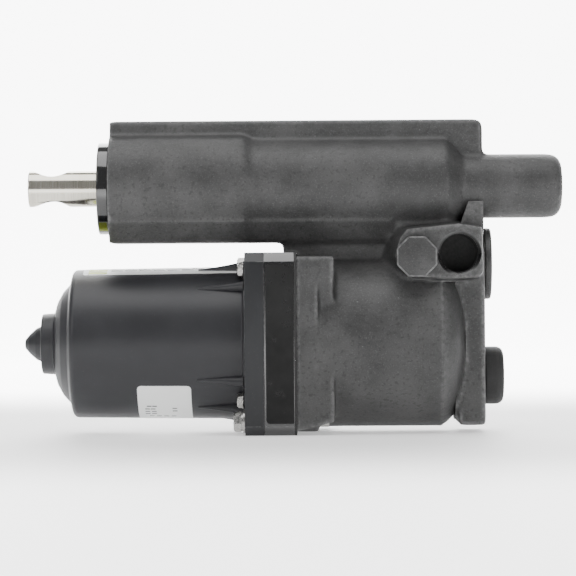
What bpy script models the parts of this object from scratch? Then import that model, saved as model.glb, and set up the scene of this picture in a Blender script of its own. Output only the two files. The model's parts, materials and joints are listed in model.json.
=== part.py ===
"""Electric linear actuator: a DC motor drives a planetary stage and three spur gears,
which turn a ball screw that pushes a plated ram rod out of a cast housing.

+Z is up and the ram rod extends towards -X. The motor lies under the ram, on the same middle plane.
The object stands on its motor flange at Z = 0, and X = 0, Y = 0 is the middle of its footprint.
"""

import math

import bmesh
import bpy
from mathutils import Matrix, Vector

MM = 0.001

# Axes and travel
MOTOR_Z = 49.5 * MM
CENTRE_DISTANCE = 43.0 * MM
IDLER_Z = MOTOR_Z + CENTRE_DISTANCE
RAM_Z = IDLER_Z + CENTRE_DISTANCE
SCREW_LEAD = 10.0 * MM
GAP = 0.3 * MM  # left between pieces that touch on the real object

# Casting
BARREL_START = -101.0 * MM
BARREL_R = 30.0 * MM
BARREL_SMALL_R = 26.5 * MM
BARREL_STEP = (-26.9 * MM, -21.5 * MM)
SHOULDER = (85.4 * MM, 94.3 * MM)
TAIL_R = 17.8 * MM
TAIL_END = 149.3 * MM
TAIL_ROUNDING = 9.5 * MM
RAM_BORE_R = 23.8 * MM
TAIL_BORE_R = 14.0 * MM
TAIL_BORE_END = 143.0 * MM
RIB_TOP = 172.7 * MM
RIB_END = 105.4 * MM
RIB_HALF = 6.0 * MM
KEEL_BOTTOM = -30.7 * MM  # from the ram's axis
CASE_START = 2.2 * MM
CASE_R = 46.7 * MM
CASE_END = 81.0 * MM
CASE_BORE_R = 42.0 * MM
CASE_BORE_END = 36.0 * MM
SLAB = (89.6 * MM, RIB_END)
SLAB_BOTTOM = 3.9 * MM
SLAB_HALF = 24.0 * MM
LUG_FACE = 36.0 * MM  # from the middle plane to the trunnion faces
LUG_ROOT = 16.0 * MM
TRUNNION = (90.7 * MM, 98.0 * MM)
TRUNNION_R = 11.0 * MM
TRUNNION_DEPTH = 22.0 * MM
PLUG = (67.4 * MM, 96.9 * MM)
PLUG_STEM_R = 9.0 * MM
PLUG_FLATS = 22.0 * MM
VENT_Z = 30.6 * MM
VENT_STEM_R = 4.7 * MM

# Square flanges between motor and casting
FLANGE_HALF = 49.5 * MM
CASE_FLANGE_HALF = 47.6 * MM
FLANGE_CHAMFER = 7.0 * MM
END_PLATE = (-25.7 * MM, -15.7 * MM)
ADAPTER = (-15.4 * MM, 0.9 * MM)
GASKET = (1.2 * MM, 1.9 * MM)
FLANGE_END = 13.8 * MM
BOSS_END = 23.2 * MM
BOLT_OFFSET = 42.0 * MM
BOLT_R = 3.0 * MM
BOLT_HOLE_R = 3.4 * MM
BOLT_END = 19.5 * MM

# Gears
SPUR_MODULE = 2.0 * MM
PINION_TEETH = 21
IDLER_TEETH = 22
SPUR_ANGLE = math.radians(20)
SPUR_FACE = (62.5 * MM, 72.5 * MM)
PLANET_MODULE = 1.25 * MM
SUN_TEETH = 12
PLANET_TEETH = 24
RING_TEETH = SUN_TEETH + 2 * PLANET_TEETH
PLANET_ANGLE = math.radians(25)
PLANET_ORBIT_R = (SUN_TEETH + PLANET_TEETH) * PLANET_MODULE / 2
PLANET_FACE = (14.0 * MM, 26.0 * MM)
PLANETS = 3
CHAMBER = (60.0 * MM, 75.0 * MM)
CHAMBER_R = 25.0 * MM

# Bearings: (bore radius, outer radius, width)
LARGE_BEARING = (10.0 * MM, 23.5 * MM, 14.0 * MM)
SMALL_BEARING = (7.5 * MM, 17.5 * MM, 11.0 * MM)
MOTOR_BEARING = (6.0 * MM, 16.0 * MM, 9.4 * MM)
LARGE_SEAT = 46.0 * MM
SMALL_SEAT = 76.0 * MM

# Ram
ROD_R = 10.0 * MM
ROD_TIP = -146.3 * MM
ROD_END = 29.5 * MM
ROD_BORE_R = 7.0 * MM
ROD_BORE_START = -94.0 * MM
EYE_X = -133.4 * MM
EYE_R = 5.0 * MM
EYE_MOUTH_R = 11.1 * MM
SCREW_START = -88.0 * MM
THREAD_R = 6.0 * MM
THREAD_ROOT_R = 5.0 * MM
THREAD_LAND = 5.6 * MM
THREAD_FLANK = 0.8 * MM
THREAD = (-86.0 * MM, 44.0 * MM)
THREAD_SIDES = 10
NUT = (20.0 * MM, 44.0 * MM)
NUT_R = 14.0 * MM
GLAND = (-107.4 * MM, -83.0 * MM)
GLAND_FLANGE_R = 25.6 * MM

# Motor
CAN_R = 41.2 * MM
CAN_INNER_R = 38.9 * MM
CAN_FLANGE = (-28.0 * MM, -26.0 * MM)
CAN_SCREW_CIRCLE_R = 46.1 * MM
CAN_SCREW_ANGLES = tuple(math.radians(a) for a in (120, 222, 42, -60))
DART_SPREAD = math.radians(14)
SHAFT_R = 6.0 * MM
CORE_SLOTS = 12

FINE, MIDDLE, COARSE = 32, 20, 12  # sides of a large, a middling and a small round piece

for old in list(bpy.data.objects):
    bpy.data.objects.remove(old, do_unlink=True)

parts = bpy.data.collections.new("linear_actuator")
cutters = bpy.data.collections.new("cutters")
for collection in (parts, cutters):
    bpy.context.scene.collection.children.link(collection)


# ---------------------------------------------------------------- materials


def material(name, colour, roughness, metallic=0.0):
    made = bpy.data.materials.new(name)
    made.use_nodes = True
    shader = made.node_tree.nodes["Principled BSDF"]
    shader.inputs["Base Color"].default_value = (*colour, 1.0)
    shader.inputs["Roughness"].default_value = roughness
    shader.inputs["Metallic"].default_value = metallic
    return made


CAST_BLACK = material("cast_black", (0.075, 0.075, 0.08), 0.62, 0.2)
GLOSS_BLACK = material("gloss_black", (0.012, 0.012, 0.014), 0.14, 0.2)
CAN_BLACK = material("can_black", (0.045, 0.045, 0.05), 0.42, 0.3)
PLATE_BLACK = material("plate_black", (0.04, 0.045, 0.05), 0.38, 0.2)
MOULDED_BLACK = material("moulded_black", (0.015, 0.015, 0.016), 0.3)
PLATED_STEEL = material("plated_steel", (0.78, 0.76, 0.68), 0.16, 1.0)
ZINC = material("zinc", (0.75, 0.76, 0.77), 0.3, 1.0)
STEEL = material("steel", (0.5, 0.5, 0.51), 0.32, 1.0)
BRONZE = material("bronze", (0.55, 0.38, 0.18), 0.4, 1.0)
COPPER = material("copper", (0.72, 0.38, 0.22), 0.35, 1.0)
RUBBER = material("rubber", (0.02, 0.02, 0.02), 0.7)
MAGNET = material("magnet", (0.11, 0.105, 0.1), 0.6)
CARBON = material("carbon", (0.03, 0.03, 0.03), 0.5)


# ------------------------------------------------------------ modelling tools


def tidy_mesh(mesh):
    """Joins doubled points and turns every face outwards."""
    bm = bmesh.new()
    bm.from_mesh(mesh)
    bmesh.ops.remove_doubles(bm, verts=bm.verts, dist=1e-6)
    bmesh.ops.recalc_face_normals(bm, faces=bm.faces)
    bm.to_mesh(mesh)
    bm.free()
    mesh.shade_smooth()
    mesh.set_sharp_from_angle(angle=math.radians(32))
    return mesh


def add(name, mesh, finish, location=(0, 0, 0)):
    obj = bpy.data.objects.new(name, mesh)
    mesh.materials.clear()
    mesh.materials.append(finish)
    obj.location = location
    parts.objects.link(obj)
    return obj


def as_mesh(obj):
    """The evaluated object as a tidy mesh. The object itself is removed."""
    bpy.context.view_layer.update()
    graph = bpy.context.evaluated_depsgraph_get()
    mesh = bpy.data.meshes.new_from_object(obj.evaluated_get(graph))
    mesh.transform(obj.matrix_world)
    mesh.name = obj.name
    bpy.data.objects.remove(obj)
    return tidy_mesh(mesh)


def turned_mesh(profile, sides):
    """A profile of (x, radius) points, spun about the X axis.
    It is closed, or runs from the axis back to the axis."""
    bm = bmesh.new()
    points = [bm.verts.new((x, 0, r)) for x, r in profile]
    ends_on_axis = profile[0][1] == 0 and profile[-1][1] == 0
    for first, second in zip(points, points[1:]):
        bm.edges.new((first, second))
    if not ends_on_axis:
        bm.edges.new((points[-1], points[0]))
    mesh = bpy.data.meshes.new("profile")
    bm.to_mesh(mesh)
    bm.free()
    obj = bpy.data.objects.new("turned", mesh)
    parts.objects.link(obj)
    screw = obj.modifiers.new("spin", "SCREW")
    screw.axis = "X"
    screw.steps = screw.render_steps = sides
    screw.use_merge_vertices = True
    screw.merge_threshold = 1e-6
    return as_mesh(obj)


def turned(name, profile, finish, axis_z=0.0, sides=MIDDLE):
    return add(name, turned_mesh(profile, sides), finish, (0, 0, axis_z))


def ring_profile(start, end, inner_r, outer_r, bevel=0.0):
    """A plain ring, with its two outer edges bevelled."""
    return [
        (start, inner_r),
        (start, outer_r - bevel),
        *([(start + bevel, outer_r), (end - bevel, outer_r)] if bevel else [(end, outer_r)]),
        *([(end, outer_r - bevel)] if bevel else []),
        (end, inner_r),
    ]


def rod_profile(*steps):
    """A solid shaft from (end x, radius) steps; the first step's x is where it starts."""
    start = steps[0][0]
    points = [(start, 0.0)]
    for end, radius in steps[1:]:
        points += [(start, radius), (end, radius)]
        start = end
    return [*points, (start, 0.0)]


def plate_mesh(outlines, start, end, axis="X"):
    """A flat plate from start to end along axis, cut to closed outlines: the first outside, the rest holes.
    Outline points are (y, z) on axis X and (x, z) on axis Y."""
    curve = bpy.data.curves.new("outline", "CURVE")
    curve.dimensions = "2D"
    curve.fill_mode = "BOTH"
    curve.extrude = (end - start) / 2
    for outline in outlines:
        spline = curve.splines.new("POLY")
        spline.points.add(len(outline) - 1)
        for point, (a, b) in zip(spline.points, outline):
            point.co = (a, b, 0, 1)
        spline.use_cyclic_u = True
    obj = bpy.data.objects.new("plate", curve)
    parts.objects.link(obj)
    middle = (start + end) / 2
    if axis == "X":
        obj.matrix_world = Matrix(((0, 0, 1, middle), (1, 0, 0, 0), (0, 1, 0, 0), (0, 0, 0, 1)))
    else:
        obj.matrix_world = Matrix(((1, 0, 0, 0), (0, 0, -1, middle), (0, 1, 0, 0), (0, 0, 0, 1)))
    return as_mesh(obj)


def box_mesh(low, high):
    low, high = Vector(low), Vector(high)
    bm = bmesh.new()
    bmesh.ops.create_cube(bm, size=1)
    scale = Matrix.Diagonal((*(high - low), 1))
    bm.transform(Matrix.Translation((low + high) / 2) @ scale)
    mesh = bpy.data.meshes.new("box")
    bm.to_mesh(mesh)
    bm.free()
    return tidy_mesh(mesh)


def cylinder_mesh(start, end, r_start, r_end=None, sides=MIDDLE):
    """A cylinder or cone between two points."""
    start, end = Vector(start), Vector(end)
    bm = bmesh.new()
    bmesh.ops.create_cone(
        bm,
        cap_ends=True,
        segments=sides,
        radius1=r_start,
        radius2=r_start if r_end is None else r_end,
        depth=(end - start).length,
    )
    turn = (end - start).to_track_quat("Z", "Y").to_matrix().to_4x4()
    bm.transform(Matrix.Translation((start + end) / 2) @ turn)
    mesh = bpy.data.meshes.new("cylinder")
    bm.to_mesh(mesh)
    bm.free()
    return tidy_mesh(mesh)


def tool(part, mesh, operation):
    """Adds a Boolean to part. Its tool is given in the frame of the whole object."""
    name = f"{part.name}_{operation.lower()}_{len(part.modifiers)}"
    obj = bpy.data.objects.new(name, mesh)
    obj.hide_render = True
    obj.display_type = "WIRE"
    cutters.objects.link(obj)
    modifier = part.modifiers.new(name, "BOOLEAN")
    modifier.operation = operation
    modifier.object = obj
    return obj


def cut(part, mesh):
    return tool(part, mesh, "DIFFERENCE")


def join(part, mesh):
    return tool(part, mesh, "UNION")


def arc(centre, radius, start, end, count):
    """Points on an arc, from angle start to angle end, both included."""
    steps = [start + (end - start) * i / (count - 1) for i in range(count)]
    return [(centre[0] + radius * math.cos(a), centre[1] + radius * math.sin(a)) for a in steps]


def circle(radius, sides, centre=(0.0, 0.0)):
    return arc(centre, radius, 0, 2 * math.pi * (1 - 1 / sides), sides)


def chamfered_square(half, chamfer, centre_z=0.0):
    corner = half - chamfer
    points = []
    for y_sign, z_sign in ((1, 1), (-1, 1), (-1, -1), (1, -1)):
        pair = [(y_sign * half, z_sign * corner), (y_sign * corner, z_sign * half)]
        points += pair if y_sign * z_sign > 0 else pair[::-1]
    return [(y, z + centre_z) for y, z in points]


def even_polygon(sides, flats, turn=0.0):
    """A regular polygon that measures flats across its flats."""
    corner_r = flats / 2 / math.cos(math.pi / sides)
    angles = [turn + 2 * math.pi * i / sides for i in range(sides)]
    return [(corner_r * math.cos(a), corner_r * math.sin(a)) for a in angles]


def moved(mesh, x=0.0, y=0.0, z=0.0):
    mesh.transform(Matrix.Translation((x, y, z)))
    return mesh


# --------------------------------------------------------------------- gears


def involute(angle):
    return math.tan(angle) - angle


def gear_outline(teeth, module, angle, turn, addendum, dedendum, slack, middle=True):
    """An involute gear in the Y-Z plane with a tooth centred on angle turn.

    slack thins each tooth along the pitch circle. A ring gear's hole is the same outline with addendum
    and dedendum exchanged and slack negative.
    Each flank has a point on the pitch circle if middle is set, and is straight if not."""
    pitch_r = teeth * module / 2
    base_r = pitch_r * math.cos(angle)
    half = (math.pi * module / 2 - slack) / 2 / pitch_r + involute(angle)
    radii = [pitch_r - dedendum * module, pitch_r + addendum * module]
    if middle:
        radii.insert(1, pitch_r - 0.1 * module)

    def flank(r):
        return half - involute(math.acos(min(1.0, base_r / r)))

    points = []
    for tooth in range(teeth):
        centre = turn + 2 * math.pi * tooth / teeth
        points += [(r, centre - flank(r)) for r in radii]
        points += [(r, centre + flank(r)) for r in reversed(radii)]
    return [(r * math.cos(a), r * math.sin(a)) for r, a in points]


def outside_turn(teeth, turn, direction, other_teeth):
    """The turn that puts another gear in mesh with this one, when it lies in that direction from it."""
    here = (direction - turn) * teeth / (2 * math.pi)
    there = (0.5 - here) * 2 * math.pi / other_teeth
    return direction + math.pi - there


def ring_turn(turn, direction, planet_teeth, ring_teeth):
    """The turn of a ring gear's spaces that take the teeth of a planet in that direction."""
    phase = (direction - turn) * planet_teeth / (2 * math.pi)
    return direction - phase * 2 * math.pi / ring_teeth


SPUR_SLACK = 0.16 * MM
PLANET_SLACK = 0.14 * MM


def spur_gear(name, teeth, turn, bore_r, z):
    outline = gear_outline(teeth, SPUR_MODULE, SPUR_ANGLE, turn, 1.0, 1.25, SPUR_SLACK)
    return add(name, plate_mesh([outline, circle(bore_r, MIDDLE)], *SPUR_FACE), STEEL, (0, 0, z))


def planet_outline(teeth, turn):
    middle = teeth == SUN_TEETH
    return gear_outline(teeth, PLANET_MODULE, PLANET_ANGLE, turn, 1.0, 1.25, PLANET_SLACK, middle)


# ------------------------------------------------------------------- casting


def barrel_profile():
    rounding = arc(
        (TAIL_END - TAIL_ROUNDING, TAIL_R - TAIL_ROUNDING), TAIL_ROUNDING, math.pi / 2, 0, 5
    )
    return [
        (BARREL_START, 0.0),
        (BARREL_START, BARREL_R),
        (BARREL_STEP[0], BARREL_R),
        (BARREL_STEP[1], BARREL_SMALL_R),
        (SHOULDER[0], BARREL_SMALL_R),
        (SHOULDER[1], TAIL_R),
        *rounding,
        (TAIL_END, 0.0),
    ]


def case_profile():
    """The motor-side gear case, whose closed end rounds off into the slab."""
    return [
        (CASE_START, 0.0),
        (CASE_START, CASE_R),
        (CASE_END, CASE_R),
        (CASE_END + 7.5 * MM, CASE_R - 6.2 * MM),
        (CASE_END + 13.0 * MM, CASE_R - 22.7 * MM),
        (CASE_END + 17.0 * MM, 0.0),
    ]


def lug_mesh():
    """The block that carries both trunnion sockets and the plug. It narrows towards its two faces."""
    root = [(51.6, 96.5), (56.3, 110.6), (90.8, 114.3), (103.9, 112.2)]
    root += [(105.2, 87.6), (102.3, 84.4), (85.6, 83.0)]
    face = [(57.0, 96.7), (60.6, 108.6), (90.4, 112.4), (102.4, 110.6)]
    face += [(103.6, 88.4), (101.4, 86.2), (85.6, 85.0)]
    root.append((61.5, 84.6))
    face.append((63.4, 86.4))
    bm = bmesh.new()
    loops = []
    for y, outline in ((-LUG_FACE, face), (-LUG_ROOT, root), (LUG_ROOT, root), (LUG_FACE, face)):
        loops.append([bm.verts.new((x * MM, y, z * MM)) for x, z in outline])
    count = len(root)
    for near, far in zip(loops, loops[1:]):
        for i in range(count):
            bm.faces.new((near[i], near[(i + 1) % count], far[(i + 1) % count], far[i]))
    bm.faces.new(loops[0])
    bm.faces.new(loops[-1])
    mesh = bpy.data.meshes.new("lug")
    bm.to_mesh(mesh)
    bm.free()
    return tidy_mesh(mesh)


def flange_bosses():
    """Blocks behind the flange's corners: lowest and highest y, then z, from the motor's axis."""
    near, top, bottom = 27.0 * MM, 33.5 * MM, -21.5 * MM
    edge = CASE_FLANGE_HALF - 0.6 * MM
    for side in (-1, 1):
        y = sorted((side * near, side * edge))
        yield *y, top, edge
        yield *y, -edge, bottom


def main_housing():
    housing = turned("main_housing", barrel_profile(), CAST_BLACK, RAM_Z, FINE)
    inside = 3.0 * MM
    rib = [
        (BARREL_START, RAM_Z + 10 * MM),
        (RIB_END, RAM_Z + 10 * MM),
        *arc((RIB_END - inside, RIB_TOP - inside), inside, 0, math.pi / 2, 4),
        (BARREL_START, RIB_TOP),
    ]
    join(housing, plate_mesh([rib], -RIB_HALF, RIB_HALF, "Y"))
    keel = [(-20, -10), (-20, -18.5), (-13, 0), (13, 0), (20, -18.5), (20, -10)]
    keel = [(y * MM, RAM_Z + (z * MM or KEEL_BOTTOM)) for y, z in keel]
    join(housing, plate_mesh([keel], BARREL_START + GAP, 58 * MM))
    foot = FLANGE_HALF + MOTOR_Z + 0.8 * MM
    web = [(-4, foot), (4, foot), (4, 0.08), (92, 0.08), (92, RAM_Z - 0.02), (-4, RAM_Z - 0.02)]
    join(housing, plate_mesh([[(x * MM, z) for x, z in web]], -10 * MM, 10 * MM, "Y"))
    join(housing, moved(turned_mesh(case_profile(), FINE), z=MOTOR_Z))
    square = chamfered_square(CASE_FLANGE_HALF, FLANGE_CHAMFER, MOTOR_Z)
    join(housing, plate_mesh([square], CASE_START + 0.02 * MM, FLANGE_END))
    for y0, y1, z0, z1 in flange_bosses():
        low = (FLANGE_END - 2 * MM, y0, MOTOR_Z + z0)
        boss = join(housing, box_mesh(low, (BOSS_END, y1, MOTOR_Z + z1)))
        boss.name = f"boss_{len(housing.modifiers)}"
    join(housing, box_mesh((SLAB[0], -SLAB_HALF, SLAB_BOTTOM), (SLAB[1] + 0.01 * MM, SLAB_HALF, 100 * MM)))
    join(housing, box_mesh((94 * MM, -16.5 * MM, 95 * MM), (SLAB[1] - 0.4 * MM, 16.5 * MM, 127 * MM)))
    join(housing, cylinder_mesh((48 * MM, 0, IDLER_Z), (80 * MM, 0, IDLER_Z), 28.5 * MM, sides=FINE))
    join(housing, lug_mesh())
    cut_ram_side(housing)
    cut_motor_side(housing)
    cut_openings(housing)
    return housing


def cut_ram_side(housing):
    seat_r = SMALL_BEARING[1] + GAP
    bore = rod_profile(
        (BARREL_START - 2 * MM, 0),
        (CHAMBER[1], RAM_BORE_R),
        (SMALL_SEAT + SMALL_BEARING[2] + GAP, seat_r),
        (TAIL_BORE_END, TAIL_BORE_R),
    )
    cut(housing, moved(turned_mesh(bore, FINE), z=RAM_Z))


def cut_motor_side(housing):
    bore = rod_profile(
        (CASE_START - 2 * MM, 0),
        (CASE_BORE_END, CASE_BORE_R),
        (CHAMBER[1] + 0.1 * MM, RAM_BORE_R),
        (SMALL_SEAT + SMALL_BEARING[2] + GAP, SMALL_BEARING[1] + GAP),
    )
    cut(housing, moved(turned_mesh(bore, FINE), z=MOTOR_Z))
    half = SPUR_MODULE * (IDLER_TEETH / 2 + 1) + 2 * GAP
    cut(housing, box_mesh((CHAMBER[0], -half, MOTOR_Z), (CHAMBER[1] - 0.1 * MM, half, IDLER_Z)))
    low, high = CHAMBER[0] - 0.1 * MM, CHAMBER[1] - 0.2 * MM
    cut(housing, cylinder_mesh((low, 0, IDLER_Z), (high, 0, IDLER_Z), CHAMBER_R, sides=FINE))


def cut_openings(housing):
    hole_r = 6.0 * MM + GAP
    cut(housing, cylinder_mesh((52 * MM, 0, IDLER_Z), (110 * MM, 0, IDLER_Z), hole_r, sides=MIDDLE))
    for side in (-1, 1):
        outer, inner = side * (LUG_FACE + 1 * MM), side * (LUG_FACE - TRUNNION_DEPTH)
        ends = [(TRUNNION[0], y, TRUNNION[1]) for y in (outer, inner)]
        cut(housing, cylinder_mesh(*ends, TRUNNION_R, sides=FINE))
    ends = [(PLUG[0], y, PLUG[1]) for y in (-LUG_FACE - 1 * MM, -20 * MM)]
    cut(housing, cylinder_mesh(*ends, PLUG_STEM_R + GAP))
    for y, z in bolt_places():
        cut(housing, cylinder_mesh((0, y, z), (BOLT_END + 1 * MM, y, z), BOLT_HOLE_R, sides=10))
    ends = [(x, 0, VENT_Z) for x in (98 * MM, 110 * MM)]
    cut(housing, cylinder_mesh(*ends, VENT_STEM_R + GAP, sides=COARSE))


def bolt_places():
    """The (y, z) of the bolts in two opposite corners, upper back first."""
    return [(side * BOLT_OFFSET, MOTOR_Z + side * BOLT_OFFSET) for side in (1, -1)]


# ------------------------------------------------------- fittings on the casting


def blanking_plug():
    stem_end = -LUG_FACE + 9.5 * MM
    seat = -LUG_FACE - GAP
    top = -46.0 * MM
    head = plate_mesh([even_polygon(8, PLUG_FLATS, math.pi / 8)], top, seat, "Y")
    plug = add("blanking_plug", head, CAST_BLACK, (PLUG[0], 0, PLUG[1]))
    ends = [(PLUG[0], y, PLUG[1]) for y in (seat - 2 * MM, stem_end)]
    join(plug, cylinder_mesh(*ends, PLUG_STEM_R))
    return plug


def idler_fittings():
    turned("idler_shaft", rod_profile((53 * MM, 0), (104.6 * MM, 6 * MM)), STEEL, IDLER_Z, COARSE)
    low, high, r = RIB_END + GAP, 109.6 * MM, 19.7 * MM
    cap = [(low, 0), (low, r), (high - 1.2 * MM, r), (high, r - 1.2 * MM), (high, 0)]
    turned("idler_cap", cap, CAST_BLACK, IDLER_Z)


def breather_cap():
    low, high, r = RIB_END + GAP, 116.3 * MM, 16.0 * MM
    rounding = 5.5 * MM
    profile = [
        (98.5 * MM, 0),
        (98.5 * MM, VENT_STEM_R),
        (low, VENT_STEM_R),
        (low, r),
        *arc((high - rounding, r - rounding), rounding, math.pi / 2, 0, 4),
        (high, 0),
    ]
    turned("breather_cap", profile, RUBBER, VENT_Z)


def gland():
    start, end = GLAND
    shoulder = BARREL_START - GAP
    body_r = RAM_BORE_R - GAP
    groove = (-92.0 * MM, -88.0 * MM, 21.4 * MM)
    bevel = 1.2 * MM
    profile = [
        (start, 14 * MM),
        (start, GLAND_FLANGE_R - bevel),
        (start + bevel, GLAND_FLANGE_R),
        (shoulder, GLAND_FLANGE_R),
        (shoulder, body_r),
        (groove[0], body_r),
        (groove[0], groove[2]),
        (groove[1], groove[2]),
        (groove[1], body_r),
        (end, body_r),
        (end, 12.6 * MM),
        (-99 * MM, 12.6 * MM),
        (-99 * MM, 10.5 * MM),
        (-103 * MM, 10.5 * MM),
        (-103 * MM, 14 * MM),
    ]
    nut = turned("gland_nut", profile, GLOSS_BLACK, RAM_Z, FINE)
    for quarter in range(4):
        angle = math.pi / 4 + quarter * math.pi / 2
        y, z = 19.5 * MM * math.cos(angle), RAM_Z + 19.5 * MM * math.sin(angle)
        cut(nut, cylinder_mesh((start - 1 * MM, y, z), (start + 4 * MM, y, z), 2 * MM, sides=10))
    ring = ring_profile(groove[0] + GAP, groove[1] - GAP, groove[2] + GAP, RAM_BORE_R - 0.2 * MM)
    turned("gland_o_ring", ring, RUBBER, RAM_Z)
    inner = ROD_R + 0.25 * MM
    wiper = [
        (start + GAP, 10.9 * MM),
        (start + GAP, 13.7 * MM),
        (-103.3 * MM, 13.7 * MM),
        (-103.3 * MM, inner),
        (start + 1.5 * MM, inner),
    ]
    turned("rod_wiper", wiper, RUBBER, RAM_Z)
    turned("rod_guide_bush", ring_profile(-98.7 * MM, -83.4 * MM, inner, 12.3 * MM), BRONZE, RAM_Z)


def bearing(name, size, start, z):
    """A shielded ball bearing, as one closed ring."""
    bore_r, outer_r, width = size
    turned(name, ring_profile(start, start + width, bore_r + 0.2 * MM, outer_r), STEEL, z)


def bearings():
    bearing("screw_front_bearing", LARGE_BEARING, LARGE_SEAT, RAM_Z)
    bearing("screw_rear_bearing", SMALL_BEARING, SMALL_SEAT, RAM_Z)
    bearing("pinion_front_bearing", LARGE_BEARING, LARGE_SEAT, MOTOR_Z)
    bearing("pinion_rear_bearing", SMALL_BEARING, SMALL_SEAT, MOTOR_Z)
    bearing("armature_front_bearing", MOTOR_BEARING, END_PLATE[0] + GAP, MOTOR_Z)
    turned(
        "brake_sleeve",
        ring_profile(100 * MM, 120 * MM, 9.5 * MM, TAIL_BORE_R - GAP),
        RUBBER,
        RAM_Z,
        MIDDLE,
    )


# --------------------------------------------------------------------- motor


def can_profile():
    outer = [
        (-149.3, 0),
        (-148.8, 2.0),
        (-147.0, 4.6),
        (-142.6, 8.6),
        (-139.3, 10.6),
        (-139.3, 15.9),
        (-138.0, 17.1),
        (-132.4, 17.1),
        (-123.4, 32.4),
        (-121.8, 39.4),
        (-120.2, 41.2),
        (-28.0, 41.2),
        (-28.0, 46.5),
        (-26.0, 46.5),
    ]
    inner = [
        (-26.0, 38.9),
        (-118.6, 38.9),
        (-121.2, 31.6),
        (-130.6, 15.0),
        (-137.0, 15.0),
        (-137.0, 8.0),
        (-146.0, 0),
    ]
    return [(x * MM, r * MM) for x, r in outer + inner]


def dart_mesh(angle):
    """A pressed stiffening fold that runs up from the can to its flange."""
    length, height, half = 25 * MM, 5.0 * MM, 1.2 * MM
    outline = [
        (CAN_FLANGE[0] - length, CAN_R - 0.8 * MM),
        (CAN_FLANGE[0] + 1 * MM, CAN_R - 0.8 * MM),
        (CAN_FLANGE[0] + 1 * MM, CAN_R + height),
        (CAN_FLANGE[0] - 2 * MM, CAN_R + height - 0.6 * MM),
        (CAN_FLANGE[0] - length, CAN_R + 0.1 * MM),
    ]
    mesh = plate_mesh([outline], -half, half, "Y")
    mesh.transform(Matrix.Rotation(angle - math.pi / 2, 4, "X"))
    return moved(mesh, z=MOTOR_Z)


def can_screw_places():
    """The can screws' (y, z)."""
    r = CAN_SCREW_CIRCLE_R
    return [(r * math.cos(a), MOTOR_Z + r * math.sin(a)) for a in CAN_SCREW_ANGLES]


def motor_can():
    can = turned("motor_can", can_profile(), CAN_BLACK, MOTOR_Z, FINE)
    for angle, (y, z) in zip(CAN_SCREW_ANGLES, can_screw_places()):
        ends = [(x, y, z) for x in (CAN_FLANGE[0] + 0.02 * MM, CAN_FLANGE[1] - 0.02 * MM)]
        join(can, cylinder_mesh(*ends, 5.2 * MM, sides=COARSE))
        for side in (-1, 1):
            join(can, dart_mesh(angle + side * DART_SPREAD))
    for y, z in can_screw_places():
        ends = [(x, y, z) for x in (CAN_FLANGE[0] - 0.5 * MM, CAN_FLANGE[1] + 1 * MM)]
        cut(can, cylinder_mesh(*ends, 2.8 * MM, sides=10))


def flange_plate(name, span, finish, bore_r, sides, more_holes=()):
    """A square flange plate with its bolt holes, a round bore and any other holes, as (radius, (y, z))."""
    holes = [(BOLT_HOLE_R, place) for place in bolt_places()] + list(more_holes)
    holes = [circle(r, 10, (y, z - MOTOR_Z)) for r, (y, z) in holes]
    square = chamfered_square(FLANGE_HALF, FLANGE_CHAMFER)
    plate = add(name, plate_mesh([square, *holes, circle(bore_r, sides)], *span), finish, (0, 0, MOTOR_Z))
    return plate


def flange_stack():
    tapped = [(2.5 * MM, place) for place in can_screw_places()]
    flange_plate("motor_end_plate", END_PLATE, PLATE_BLACK, MOTOR_BEARING[1] + GAP, MIDDLE, tapped)
    adapter = flange_plate("motor_adapter", ADAPTER, GLOSS_BLACK, 30 * MM, FINE)
    panel_start, panel_half, panel_depth = -12.5 * MM, 41.0 * MM, 1.2 * MM
    for side in (-1, 1):
        y = sorted((side * (FLANGE_HALF - panel_depth), side * (FLANGE_HALF + 1 * MM)))
        low = (panel_start, y[0], MOTOR_Z - panel_half)
        cut(adapter, box_mesh(low, (ADAPTER[1] + 1 * MM, y[1], MOTOR_Z + panel_half)))
    pocket = (-10.5 * MM, 38.0 * MM, MOTOR_Z - 9 * MM), (-3.5 * MM, 52 * MM, MOTOR_Z + 9 * MM)
    cut(adapter, box_mesh(*pocket))
    flange_plate("adapter_gasket", GASKET, RUBBER, CASE_BORE_R, FINE)
    power_socket(*pocket)


def power_socket(low, high):
    """A two-way socket in the adapter's back, open outwards, with its two blades inside."""
    low = Vector(low) + Vector((GAP, GAP, GAP))
    high = Vector((high[0] - GAP, FLANGE_HALF - 0.2 * MM, high[2] - GAP))
    wall = 1.2 * MM
    socket = add("power_socket", box_mesh(low, high), MOULDED_BLACK)
    mouth_low = Vector((low.x + wall, low.y + 3 * MM, low.z + wall))
    mouth_high = Vector((high.x - wall, high.y + 5 * MM, high.z - wall))
    cut(socket, box_mesh(mouth_low, mouth_high))
    for number, side in enumerate((-1, 1), 1):
        z = MOTOR_Z + side * 4 * MM
        blade_low = (low.x + 2.8 * MM, mouth_low.y + GAP, z - 2.2 * MM)
        blade = box_mesh(blade_low, (low.x + 3.6 * MM, 47 * MM, z + 2.2 * MM))
        add(f"power_blade_{number}", blade, BRONZE)


def screw_fastener(name, y, z, head, flats, washer, shank):
    """A hex-headed screw along +X: head is (start, end), washer (thickness, radius), shank (radius, end)."""
    head_start, head_end = head
    thickness, washer_r = washer
    shank_r, shank_end = shank
    hexagon = plate_mesh([even_polygon(6, flats, math.pi / 6)], head_start, head_end)
    fastener = add(name, hexagon, ZINC, (0, y, z))
    seat = head_end + thickness
    join(fastener, cylinder_mesh((head_end - 0.4 * MM, y, z), (seat, y, z), washer_r, sides=COARSE))
    join(fastener, cylinder_mesh((seat - 0.4 * MM, y, z), (shank_end, y, z), shank_r, sides=10))


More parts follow.
